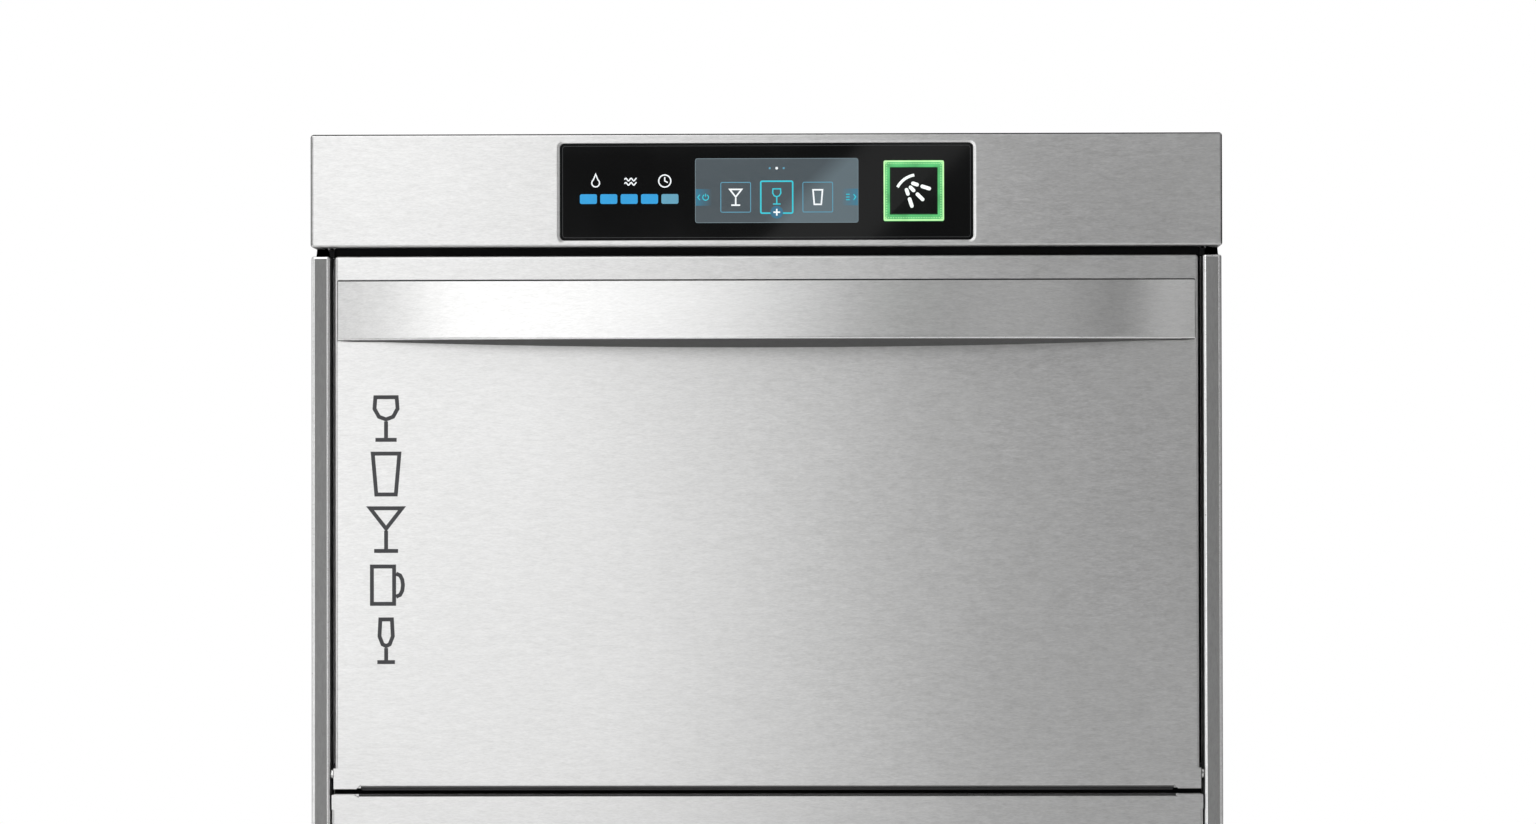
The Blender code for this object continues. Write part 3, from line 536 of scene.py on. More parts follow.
def lit(name, colour, strength, gloss=0.25, variation=0.06):
    """A print or window lit from behind, a little uneven as a light guide is."""
    nodes = Nodes(name)
    cloud = nodes.noise(160.0, detail=2.0)
    shade = nodes.clouded(cloud, *shades(colour, 1 - variation, 1 + variation))
    ground = nodes.clouded(cloud, *shades(colour, 0.25, 0.25))
    nodes.set(Base_Color=ground, Roughness=gloss, Emission_Color=shade, Emission_Strength=strength)


def display_glow():
    """The display's blue-grey ground: lighter below a slanting line, a painted sheen, and bluer at the middle
    of both ends.
    """
    nodes = Nodes("display")
    place = nodes.add("TexCoord").outputs["Object"]
    painted_sheen_across = (0.69, 0.0, -0.72)
    slant = nodes.add("VectorMath", {0: place, 1: painted_sheen_across}, operation="DOT_PRODUCT").outputs["Value"]
    # the lighter colour below the slanting line is a painted sheen
    lower, upper = (0.106, 0.142, 0.161), (0.062, 0.079, 0.09)
    ground = nodes.mixed(nodes.between(slant, 0.0, 1.0, -0.4815, -0.47), upper, lower)
    split = nodes.add("SeparateXYZ", {"Vector": place})
    out = nodes.math("ABSOLUTE", nodes.math("SUBTRACT", split.outputs["X"], DISPLAY_CENTRE[0]), 0.0)
    rise = nodes.math("ABSOLUTE", nodes.math("SUBTRACT", split.outputs["Z"], TILE_HEIGHT), 0.0)
    inside = nodes.math("LESS_THAN", rise, 0.0055)
    end = half_width("display_module")
    share = nodes.math("MULTIPLY", nodes.between(out, 0.0, 0.85, end - 0.011, end), inside)
    shade = nodes.mixed(share, (0.0, 0.0, 0.0), (0.03, 0.185, 0.29))
    nodes.put(shade.node.inputs[6], ground)
    cloud = nodes.noise(300.0, detail=1.0)
    nodes.set(Base_Color=shade, Roughness=nodes.between(cloud, 0.1, 0.14), Emission_Color=shade,
              Emission_Strength=0.4)


def pale_floor():
    """A matt pale floor that fades into the white round it."""
    nodes = Nodes("floor")
    place = nodes.add("TexCoord").outputs["Object"]
    distance = nodes.add("VectorMath", {0: place}, operation="LENGTH").outputs["Value"]
    cloud = nodes.noise(3.0, detail=1.0)
    shade = nodes.clouded(cloud, (0.8, 0.8, 0.8), (0.82, 0.82, 0.82))
    nodes.set(
        Base_Color=shade, Roughness=nodes.between(cloud, 0.68, 0.72), Emission_Color=(1.0, 1.0, 1.0, 1.0),
        Emission_Strength=nodes.between(distance, 0.1, 1.0, 1.7, 2.95),
    )


def make_materials():
    brushed("steel_x", "x")
    brushed("steel_z", "z", tone=0.6)
    # painted shade: a darker steel for the posts' front faces
    brushed("painted_shade_post_steel", "z", tone=0.38, roughness=0.5, anisotropy=0.9)
    # painted shade: a dark steel for the downward faces at the door's lower edge and under the handle
    brushed("painted_shade_steel", "x", tone=0.16, roughness=0.4)
    # painted highlight: a near-white steel for bright lines along bends
    brushed("painted_highlight_steel", "x", tone=0.95, roughness=0.3)
    # painted shade: a darker steel for the recessed connection panel
    brushed("niche_painted_shade_steel", "x", tone=0.34, roughness=0.42)
    satin("inner_steel", (0.82, 0.82, 0.81), 0.4, scale=9.0, bump=0.01)
    satin("bright_steel", (0.72, 0.72, 0.71), 0.16)
    satin("spring_steel", (0.42, 0.41, 0.39), 0.28)
    satin("motor_paint", (0.045, 0.05, 0.055), 0.42, metallic=0.3)
    glossy("black_glass", (0.0014, 0.0016, 0.0018), (0.002, 0.0023, 0.0025), 0.035, 0.05, 30.0)
    glossy("button", (0.002, 0.003, 0.0025), (0.0032, 0.0044, 0.0038), 0.06, 0.09, 60.0)
    display_glow()
    lit("display_edge", (0.17, 0.23, 0.26), 1.0, 0.2)
    lit("icon_bright", (0.9, 1.0, 0.94), 1.0)
    lit("icon_white", (0.86, 0.9, 0.92), 0.95)
    lit("icon_cyan", (0.03, 0.52, 0.62), 0.95)
    lit("icon_outline", (0.1, 0.32, 0.45), 0.9)
    lit("icon_blue", (0.03, 0.15, 0.25), 0.85)
    lit("bar_blue", (0.008, 0.31, 0.66), 0.9)
    lit("green_edge", (0.52, 1.0, 0.42), 0.95, 0.4, 0.15)
    lit("green_band", (0.09, 0.5, 0.16), 0.85, 0.4, 0.25)
    moulded("edge_shadow", (0.05, 0.05, 0.05), 0.8, 0.02, 0.0)
    moulded("glass_border", (0.035, 0.038, 0.04), 0.35)
    moulded("black_plastic", (0.018, 0.018, 0.02), 0.48)
    moulded("grey_plastic", (0.3, 0.31, 0.32), 0.5)
    moulded("blue_plastic", (0.015, 0.085, 0.3), 0.42)
    moulded("rubber", (0.016, 0.016, 0.017), 0.72)
    moulded("print_grey", (0.055, 0.055, 0.06), 0.55, 0.05)
    pale_floor()


# ---- casing ----
COVER_LIP = 0.0078              # how far the cover's underside turns in
COVER_RADIUS = 0.0021           # of the cover's folded edges
WINDOW_LIP = 0.0026             # how far the steel is pressed inwards round the glass


def window_cutter():
    """The hole for the glass, flared to the front so that the steel round it is pressed inwards."""
    rows = ((-0.001, -WINDOW_LIP), (0.0, -WINDOW_LIP), (0.00006, 0.0006 - WINDOW_LIP), (0.0002, -0.0013),
            (0.0004, -0.0005), (0.0007, -HAIR), (PAST, -HAIR))
    return loft(stepped(face(GLASS_LOW, GLASS_HIGH), 0.0026, FRONT, rows))


def make_top_cover():
    low, high = COVER_LOW, COVER_HIGH
    shell = rounded(box(low, high), COVER_RADIUS, 5)
    mouth_low = (low.x + COVER_LIP, low.y + COVER_LIP, low.z - PAST)
    mouth_high = (high.x - COVER_LIP, high.y - COVER_LIP, high.z - 0.02)
    shell = cut(shell, box(low + WALL, high - WALL), box(mouth_low, mouth_high), window_cutter())
    cover = piece("cover_shell", shell, "steel_x", "top_cover")
    paint(cover, "edge_shadow", lambda centre, normal: centre.y < FRONT + COVER_RADIUS and normal.y < -0.05
          and (0.68 < normal.z < 0.99 or 0.68 < abs(normal.x) < 0.99))


def column(low, high, radius, rim):
    """An upright bar with rounded front corners, a square back and a rounded top rim."""
    sections = []
    for step in range(-1, 6):
        angle = math.pi / 2 * max(step, 0) / 5
        inset = rim * (1 - math.cos(angle))
        (x0, y0), (x1, y1) = (low[0] + inset, low[1] + inset), (high[0] - inset, high[1])
        corner = max(radius - inset, HAIR)
        outline = arc((x1 - corner, y0 + corner), corner, 0, -90, 5)
        outline += arc((x0 + corner, y0 + corner), corner, 270, 180, 5) + [(x0, y1), (x1, y1)]
        sections.append(section(outline, "z", low[2] if step < 0 else high[2] - rim + rim * math.sin(angle)))
    return loft(sections)


def make_side_panel(side, word):
    """A side wall with its front post, and the rail that carries the cover."""
    node = word + "_side_panel"
    low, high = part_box(node)
    outer, post, rail_x = side * max(abs(low.x), abs(high.x)), side * 0.287, side * 0.2895
    post_depth, top, step = 0.022, SKIN_HIGH.z, 0.0006
    x_low, x_high = sorted((outer, post))
    post_bar = column((x_low, low.y, low.z), (x_high, low.y + post_depth, top), BEND, 0.0015)
    path = fillet([(outer, low.y + post_depth), (outer, high.y), (outer - side * 0.02, high.y)], BEND)
    wall = prism(thick(path[::side], SHEET), "z", low.z, top)
    inset = outer - side * step
    ledge = top - step
    path = fillet([(inset, top - 0.002), (inset, ledge), (rail_x, ledge), (rail_x, high.z)], step, 3)
    rail = prism(thick(path[::-side], 0.0009), "y", -0.26, 0.3)
    panel = piece(word + "_side_and_post", [post_bar, wall, rail], "steel_z", node)
    # painted shade: the posts' front faces get the darker steel
    paint(panel, "painted_shade_post_steel", lambda centre, normal: normal.y < -0.99 and centre.y < FRONT + 0.001)
    # painted highlight on the bends beside each post's front face
    paint(panel, "painted_highlight_steel", lambda centre, normal: centre.y < FRONT + BEND and -0.99 < normal.y < -0.3)


def pan(low, high, depth, end, tab, tab_out):
    """A plate whose edges are bent back, left flat at both corners of one end: +1 the upper, -1 the lower.

    Each tab is tab[0] wide and tab[1] high, just behind the plate's plane, and stands out by tab_out.
    """
    far = Vector((high.x, low.y + depth, high.z))
    shell = rounded(box(low, far), BEND, 5, lambda edge: min(v.co.y for v in edge.verts) < low.y + 1e-6)
    inside = box(low + WALL, far - WALL + Vector((0.0, SHEET + PAST, 0.0)))
    notches, tabs = [], []
    sliver, slant = 0.0001, 0.003
    for side in (-1, 1):
        edge_x = high.x if side > 0 else low.x
        edge_z = high.z if end > 0 else low.z
        reach_x, reach_z = edge_x - side * tab[0], edge_z - end * tab[1]
        (x0, x1), (z0, z1) = sorted((reach_x, edge_x + side * PAST)), sorted((reach_z, edge_z + end * PAST))
        notches.append(box((x0, low.y - PAST, z0), (x1, low.y + BEND + sliver, z1)))
        out_x, out_z = edge_x + side * tab_out[0], edge_z + end * tab_out[1]
        root_x, root_z = reach_x - side * sliver, reach_z - end * sliver
        outline = [(root_x, root_z), (out_x, root_z), (out_x, out_z), (reach_x + side * slant, out_z),
                   (root_x, edge_z - end * BEND)]
        tabs.append(rounded(prism(outline[::side * end], "y", low.y + sliver, low.y + 0.0014), 0.00025, 2))
    return cut(shell, inside, *notches), tabs


def make_lower_panel():
    low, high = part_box("lower_front_panel")
    shell, tabs = pan(low, high, 0.012, 1, (0.018, 0.01), (0.0, -0.0004))
    foot = box((low.x + 0.01, low.y + 0.004, low.z), (high.x - 0.01, high.y, low.z + SHEET))
    panel = piece("service_panel", [shell, foot, *tabs], "steel_x", "lower_front_panel")
    # painted highlight on the top bend, and a painted shade line just under it
    paint(panel, "painted_highlight_steel", lambda centre, normal: centre.z > high.z - BEND and 0.8 < normal.z < 0.999)
    paint(panel, "edge_shadow", lambda centre, normal: centre.z > high.z - BEND and 0.4 < normal.z < 0.8)


def screw_head(axis, centre, along, way, radius=0.0032):
    """A low domed head."""
    profile = [(0.0, along)]
    profile += [(radius * math.sin(a), along + way * 0.0012 * (math.cos(a) - 1))
                for a in map(math.radians, (20, 40, 60, 80))]
    profile += [(radius, along - way * 0.0016), (0.0, along - way * 0.0016)]
    return turned(profile, axis, centre, 20)


def make_rear_panel():
    """The rear panel with its louvres, held by screws round its edge."""
    low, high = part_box("rear_panel")
    skin, half_height = high.y - 0.0008, (high.z - low.z) / 2
    slots = []
    for row in range(6):
        for x in (-0.0675, 0.0, 0.0675):
            bottom = 0.18 + 0.012 * row
            outline = rounded_rectangle((x - 0.03, bottom), (x + 0.03, bottom + 0.004), 0.0019, 4)
            slots.append(prism(outline, "y", low.y - PAST, high.y + PAST))
    panel = cut(box(low, (high.x, skin, high.z)), joined(*map(into_mesh, slots)))
    spots = [(x, z) for x in (low.x + 0.01, 0.0, high.x - 0.01)
             for z in (low.z + 0.012, low.z + half_height, high.z - 0.012) if x or z != low.z + half_height]
    piece("back_plate", panel, "steel_z", "rear_panel", soften=0.0003)
    piece("back_screws", [screw_head("y", spot, high.y, 1) for spot in spots], "bright_steel")


# ---- door ----
def make_door_skin():
    """The door's outer skin, with a recess for the handle, and a black lip under it that paints the shade below
    the door's lower edge.
    """
    low = Vector((SKIN_LOW.x + TAB_OUT, FRONT, SKIN_LOW.z + TAB_DOWN))
    high = Vector((SKIN_HIGH.x - TAB_OUT, SKIN_HIGH.y, SKIN_HIGH.z))
    shell, tabs = pan(low, high, high.y - low.y, -1, (0.017, 0.013), (TAB_OUT, 0.0007))
    (left, bottom), (right, top) = recess = (
        (HANDLE_LOW.x - HAIR, HANDLE_LOW.z - 0.001), (HANDLE_HIGH.x + HAIR, HANDLE_HIGH.z + 0.0007))
    deep = 0.0016
    rows = ((-0.001, -0.0004), (0.0, -0.0004), (0.0004, 0.0), (deep, 0.0))
    behind = box((low.x + 0.0005, FRONT + SHEET - 0.0002, bottom - SHEET),
                 (high.x - 0.0005, FRONT + deep + SHEET, top + SHEET))
    holes = [disc("x", HINGE, 0.0063, side * (high.x - 0.006), side * (high.x + 0.006)) for side in (-1, 1)]
    groove = box((left, FRONT + 0.001, HANDLE_HIGH.z - 0.0004), (right, FRONT + 0.0028, top))
    cutters = [loft(stepped(recess, 0.0008, FRONT, rows, 3)), groove, *holes]
    shell = cut(combined("UNION", shell, behind), *cutters)
    door = piece("door_front", [shell, *tabs], "steel_x", "door_outer_skin", "door")
    paint(door, "edge_shadow", lambda centre, normal: FRONT + 0.0012 < centre.y < FRONT + 0.0029
          and HANDLE_HIGH.z - 0.0005 < centre.z < top + 0.0001 and abs(centre.x) < right)
    # painted shade on the downward faces of the door's lower bend
    paint(door, "painted_shade_steel", lambda centre, normal: normal.z < -0.3 and centre.z < low.z + BEND)
    # a black strip that paints the shade in the gap under the door
    lip = box((low.x + 0.0175, FRONT + 0.003, SKIN_LOW.z), (high.x - 0.0175, FRONT + 0.005, low.z + 0.0012))
    piece("door_shade_lip", rounded(lip, 0.0004, 2), "black_plastic", None, "door")


def handle_section(share):
    """The strip at one place: straight at its top edge, bowed out at its lower one and turned in under it."""
    bow = (FRONT - HANDLE_LOW.y) * (1 - share * share)
    top = (FRONT + 0.0001, HANDLE_HIGH.z)
    low = (FRONT - bow, HANDLE_LOW.z)
    lip = (low[0] + 0.0012 + 0.3 * bow, low[1] - 0.0004 - 0.17 * bow)
    return section(thick(fillet([lip, low, top], 0.0014, 8), -HANDLE_SHEET), "x", share * HANDLE_HIGH.x)


def make_handle():
    stations = 64
    strip = loft([handle_section(2 * station / stations - 1) for station in range(stations + 1)])
    handle = piece("handle_strip", strip, "steel_x", "door_handle", "door")
    # painted shade on the handle's turned-in lower lip
    paint(handle, "painted_shade_steel", lambda centre, normal: normal.z < -0.8 and centre.z < HANDLE_LOW.z + 0.0002)
    # painted highlight on the lower fillet of the handle
    paint(handle, "painted_highlight_steel", lambda centre, normal: -0.8 < normal.z < -0.15 and normal.y < 0)


def make_door_inner():
    """The inner plate, pressed towards the chamber into a shallow pan with soft edges and a raised rim."""
    low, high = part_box("door_inner_skin")
    plane, steps = low.y + SHEET, 8
    pressed = (-0.25, 0.324), (0.25, 0.623)
    plate_outline = rounded_rectangle(*face(low, high), 0.003, steps)
    rows = [(min(depth, high.y - plane), inset) for depth, inset in (
        (0.0, -0.006), (0.0006, -0.003), (0.003, -0.0008), (0.006, 0.0), (0.009, 0.001), (0.0108, 0.0026),
        (0.0115, 0.0052))]
    ridge = rounded_rectangle(*grown(*pressed, -0.03), 0.012, steps)
    dip = rounded_rectangle(*grown(*pressed, -0.034), 0.01, steps)
    sections = [section(plate_outline, "y", along) for along in (low.y, plane)]
    sections += stepped(pressed, 0.016, plane, rows, steps)
    sections += [section(ridge, "y", high.y), section(dip, "y", high.y - 0.0015)]
    piece("door_liner", loft(sections), "inner_steel", "door_inner_skin", "door")


def make_seal():
    """A rubber gasket: a flat base with a soft bulb that meets the chamber's frame."""
    low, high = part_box("door_seal")
    width, deep = 0.014, high.y - low.y
    swell = deep / 2 + 0.002
    bulb = [(swell + (deep - swell) * math.cos(a), width / 2 + 0.0058 * math.sin(a))
            for a in map(math.radians, range(-90, 91, 20))]
    rows = [(0.0, 0.0), (0.004, 0.0), (0.005, 0.0012), *bulb, (0.005, width - 0.0012), (0.004, width),
            (0.0, width)]
    gasket = loft(stepped(face(low, high), 0.02, low.y, rows, 8), ring=True)
    piece("door_gasket", gasket, "rubber", "door_seal", "door")


def make_hinge(side, word):
    """A headed pin in the post, its bush in the door, and the torsion spring between them."""
    node = "hinge_pin_" + word
    inner, outer = inner_outer(node, side)
    profile = mm(outer, (0, 0), (5.6, 0), (6.5, 0.9), (6.5, 6), (4, 6), way=-side)
    profile += mm(inner, (4, 0.8), (3.2, 0), (0, 0), way=side)
    piece("pin_" + word, turned(profile, "x", HINGE), "bright_steel", node)
    node = "hinge_bush_" + word
    inner, outer = inner_outer(node, side)
    profile = mm(outer, (4.3, 0), (6.6, 0), (7, 0.4), (7, 1.2), (6, 1.2), way=-side)
    profile += mm(inner, (6, 0.5), (5.5, 0), (4.3, 0), way=side)
    piece("bush_" + word, turned(profile, "x", HINGE, closed=True), "black_plastic", node, "door")
    node = "door_spring_" + word
    fixed, moving = inner_outer(node, side)
    wire, turns, per_turn, radius = 0.001, 17, 20, 0.0056
    start, end = min(fixed, moving) + wire, max(fixed, moving) - wire
    points = []
    for step in range(turns * per_turn + 1):
        angle = 2 * math.pi * step / per_turn
        x = start + (end - start) * step / (turns * per_turn)
        points.append((x, HINGE[0] + radius * math.cos(angle), HINGE[1] + radius * math.sin(angle)))
    coil = piece("spring_" + word, tube(points, wire * 0.98, 8), "spring_steel", node, None)
    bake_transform(coil)


def make_gap_shade_strip():
    """The black strip on the chamber's frame that closes the view through the gaps round the door: a dark sheet
    that paints the shade seen in those gaps.
    """
    outer = rounded_rectangle((-0.2868, 0.28), (0.2868, 0.652), 0.002, 3)
    inner = rounded_rectangle((-0.2765, 0.301), (0.2765, 0.6415), 0.002, 3)
    ends = []
    for side in (-1, 1):
        near, far = sorted((side * 0.2862, side * 0.2975))
        ends.append(box((near, -0.26, 0.645), (far, -0.252, 0.65)))
    piece("gap_shade_strip", [hoop(outer, inner, -0.252, 0.0038), *ends], "rubber")


# ---- fittings that repeat ----
def threads(radius, start, end, pitch=0.0015, depth=0.0006):
    """Profile points of a thread, drawn as rings."""
    count = int(abs(end - start) / pitch)
    step = (end - start) / count
    inner = radius - depth
    return [(out, start + step * (index + share)) for index in range(count)
            for out, share in ((inner, 0.0), (radius, 0.35), (radius, 0.55), (inner, 0.92))]


def bolt(axis, centre, along, way, radius=0.0035, height=0.0025):
    """A hexagon head with a broken rim."""
    top = along + way * height
    profile = [(0.0, along), (radius, along), (radius, top - way * 0.0005), (radius * 0.85, top), (0.0, top)]
    return turned(profile, axis, centre, 6)


def clamp(axis, centre, radius, along):
    """A worm-drive hose clip: a band with rolled rims, and its screw housing on the outside."""
    near, far = along - 0.0045, along + 0.0045
    rim, band = radius + 0.0012, radius + 0.0007
    profile = [(radius, near), (rim, near), (rim, near + 0.001), (band, near + 0.0014), (band, far - 0.0014),
               (rim, far - 0.001), (rim, far), (radius, far)]
    low = on_axis(axis, (centre[0] - 0.006, centre[1] + radius + 0.0004), near + 0.001)
    high = on_axis(axis, (centre[0] + 0.006, centre[1] + radius + 0.0056), far - 0.001)
    return [turned(profile, axis, centre, closed=True), rounded(box(low, high), 0.001, 3)]


def perforated(columns, rows, place, hole=0.27, wrapped=False):
    """A closed sheet of square cells with a round hole in each. place makes (column, row, side) a point."""
    bm = bmesh.new()
    known = {}

    def vert(point, side):
        spot = place(*point, side)
        key = tuple(round(part, 6) for part in spot)
        if key not in known:
            known[key] = bm.verts.new(spot)
        return known[key]

    rim = ((1, 0), (1, 1), (0, 1), (-1, 1), (-1, 0), (-1, -1), (0, -1), (1, -1))
    for u, v in [(column + 0.5, row + 0.5) for column in range(columns) for row in range(rows)]:
        outer = [(u + a / 2, v + b / 2) for a, b in rim]
        inner = circle((u, v), hole, 8)
        for index in range(8):
            after = (index + 1) % 8
            a, b, c, d = outer[index], outer[after], inner[after], inner[index]
            for side in (0, 1):
                bm.faces.new([vert(point, side) for point in (a, b, c, d)])
            bm.faces.new((vert(d, 0), vert(c, 0), vert(c, 1), vert(d, 1)))
            on_end = a[1] == b[1] and a[1] in (0.0, float(rows))
            on_side = a[0] == b[0] and a[0] in (0.0, float(columns)) and not wrapped
            if on_end or on_side:
                bm.faces.new((vert(a, 0), vert(b, 0), vert(b, 1), vert(a, 1)))
    return bm


# ---- wash chamber and tank ----
FILTER_LOW, FILTER_HIGH, FILTER_CENTRE, FILTER_RADIUS = measured("filter_cylinder", "z")
SUCTION_HOLE = (0.14, -0.06)    # the x and y of the hole that the pump draws from


def make_chamber():
    low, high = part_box("chamber_shell")
    path = fillet([(low.x, low.z), (low.x, high.z), (high.x, high.z), (high.x, low.z)], 0.014, 8)
    shell = prism(thick(path, -SHEET), "y", low.y, high.y)
    shell = cut(shell, disc("z", ARM_CENTRE, 0.0124, high.z - PAST, high.z + PAST))
    piece("chamber_sleeve", shell, "inner_steel", "chamber_shell")

    low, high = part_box("wash_tank")
    above = Vector((0.0, 0.0, 0.03))
    tank = rounded(box(low, high + above), 0.014, 5)
    hollow = rounded(box(low + WALL, high - WALL + above), 0.0125, 5)
    lid = box((low.x - PAST, low.y - PAST, high.z), (high.x + PAST, high.y + PAST, high.z + 0.05))
    holes = [disc("z", at, radius, low.z - PAST, low.z + PAST)
             for at, radius in ((ARM_CENTRE, 0.008), (SUCTION_HOLE, 0.012), (FILTER_CENTRE, 0.01))]
    piece("tank_body", cut(tank, hollow, lid, *holes), "inner_steel", "wash_tank")


def make_rack_rail(side, word):
    node = "rack_rail_" + word
    low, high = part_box(node)
    inner, outer = inner_outer(node, side)
    path = fillet([(inner, low.z), (outer, low.z), (outer, high.z)], 0.003)
    rail = prism(thick(path, side * SHEET), "y", low.y, high.y)
    studs = [screw_head("x", (y, high.z - 0.012), outer - side * (SHEET + 0.0012), -side)
             for y in (low.y + 0.03, (low.y + high.y) / 2, high.y - 0.03)]
    piece("rack_guide_" + word, [rail, *studs], "inner_steel", node, soften=0.0003)


def make_strainer(side, word):
    """Half of the deck over the tank: fields of round holes in a tray with an upturned edge, and grips."""
    node = "strainer_" + word
    low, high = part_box(node)
    border, pitch, thickness, collar, spine, bar = 0.011, 0.009, 0.0012, 0.02, 0.013, 0.006
    below, above = ARM_CENTRE[1] - collar - spine, ARM_CENTRE[1] + collar + spine
    front, rear, far = low.y + border, high.y - border, max(abs(low.x), abs(high.x)) - border
    fields = [((spine, above), (far, rear)), ((collar + spine, below + bar), (far, above - bar))]
    openings = [disc("z", ARM_CENTRE, collar, low.z - PAST, high.z + PAST)]
    if side > 0:
        edge = FILTER_CENTRE[1] + FILTER_RADIUS + 0.01
        fields.append(((spine, front), (FILTER_CENTRE[0] - FILTER_RADIUS - 0.01, edge - bar)))
        fields.append(((spine, edge), (far, below)))
        openings.append(disc("z", FILTER_CENTRE, FILTER_RADIUS + 0.001, low.z - PAST, high.z + PAST))
    else:
        fields.append(((spine, front), (far, below)))
    sheets = []
    for (x0, y0), (x1, y1) in fields:
        columns, rows = int((x1 - x0) / pitch), int((y1 - y0) / pitch)
        step_x, step_y = (x1 - x0) / columns, (y1 - y0) / rows
        near, outer = sorted((side * x0, side * x1))
        openings.append(box((near, y0, low.z - PAST), (outer, y1, low.z + PAST)))

        def place(u, v, layer, near=near, y0=y0, step_x=step_x, step_y=step_y):
            return Vector((near + u * step_x, y0 + v * step_y, low.z + 0.00015 + layer * thickness))

        sheets.append(perforated(columns, rows, place))
    inside = box(low + WALL, (high.x - SHEET, high.y - SHEET, high.z + PAST))
    x, foot, top = side * 0.128, low.z + 0.001, low.z + 0.012
    grips = [pipe([(x - 0.022, y, foot), (x - 0.022, y, top), (x + 0.022, y, top), (x + 0.022, y, foot)],
                  0.005, 0.0016, 10, 5) for y in (-0.13, 0.16)]
    tray = cut(box(low, high), inside, *openings)
    piece("strainer_deck_" + word, [tray, *sheets, *grips], "inner_steel", node)


def make_filter():
    """The lift-out basket: a perforated wall between a rolled rim and a shallow cup, with a wire handle."""
    low, high = FILTER_LOW, FILTER_HIGH
    radius, wall, top = FILTER_RADIUS, 0.0012, high.z - 0.022

    def ring(start, rows, closed):
        """Rows of an inset and a height in mm; an inset past the radius ends on the axis."""
        profile = [(max(radius - inset * MM, 0.0), start + step * MM) for inset, step in rows]
        return turned(profile, "z", FILTER_CENTRE, closed=closed)

    cup = ring(low.z, ((50, 0), (3, 0), (0, 3), (0, 14), (1.2, 14), (1.2, 4), (5, 1.2), (50, 1.2)), False)
    rim = ring(top, ((3, -10), (1, -10), (0, -8), (0, -0.6), (0.6, 0), (3, 0)), True)
    columns, rows, base, height = 30, 11, low.z + 0.013, top - 0.009 - low.z - 0.013

    def place(u, v, layer):
        turn = circle(FILTER_CENTRE, radius - 0.0002 - layer * wall, 1, 360 * (u % columns) / columns)
        return on_axis("z", turn[0], base + height * v / rows)

    x, y = FILTER_CENTRE
    reach, foot, arch = radius - 0.0035, top - 0.012, high.z - 0.002
    wire = pipe([(x - reach, y, foot), (x - reach, y, arch), (x + reach, y, arch), (x + reach, y, foot)],
                0.014, 0.002, 12)
    piece("filter_basket", [cup, rim, perforated(columns, rows, place, 0.29, True), wire], "inner_steel",
          "filter_cylinder", "filter")


def make_heater():
    """A flange with two gland nuts and four screws, and the heating loop."""
    low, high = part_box("tank_heater")
    z, bar, seat = (low.z + high.z) / 2, 0.0042, high.y - 0.004
    flange = rounded(box((low.x, seat, low.z), high), 0.0012, 3)
    left, right, front, rear = low.x + 0.015, high.x - 0.015, low.y + bar, high.y - 0.002
    loop = pipe([(left, rear, z), (left, front, z), (right, front, z), (right, rear, z)], 0.02, bar)
    nuts = [disc("y", (x, z), 0.0085, seat, high.y - 0.01) for x in (left, right)]
    nuts += [bolt("y", spot, seat, -1, 0.0028, 0.002) for spot in (
        (x, z) for x in (low.x + 0.006, high.x - 0.006) for z in (low.z + 0.006, high.z - 0.006))]
    piece("heater_loop", [flange, loop, *nuts], "bright_steel", "tank_heater")


def make_spindles():
    low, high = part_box("lower_spindle")
    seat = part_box("lower_wash_arm")[0].z - HAIR
    profile = mm(low.z, (0, 0), (25.5, 0), (26, 0.5), (26, 2.6), (25.6, 3), (16, 3.2), (13, 6.2))
    profile += mm(seat, (13, -12), (12.4, -11), (12.4, -4), (13, -3), (13, 0), (9, 0))
    profile += [(0.009, high.z - 0.01), *threads(0.009, high.z - 0.0098, high.z - 0.0008, 0.0014, 0.0005)]
    profile += mm(high.z, (8, 0), (0, 0))
    bolts = [bolt("z", spot, low.z + 0.003, 1, 0.003) for spot in circle(ARM_CENTRE, 0.0205, 4)]
    piece("spindle_post", [turned(profile, "z", ARM_CENTRE), *bolts], "bright_steel", "lower_spindle")

    low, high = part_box("upper_spindle")
    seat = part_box("upper_wash_arm")[1].z + HAIR
    profile = mm(high.z, (0, 0), (11.6, 0), (12, -0.4)) + mm(seat, (12, 0.6), (11.4, 0), (9, 0))
    profile += [(0.009, low.z + 0.01), *threads(0.009, low.z + 0.0098, low.z + 0.0008, 0.0014, 0.0005)]
    profile += mm(low.z, (8, 0), (0, 0))
    piece("spindle_hanger", turned(profile, "z", ARM_CENTRE), "bright_steel", "upper_spindle")


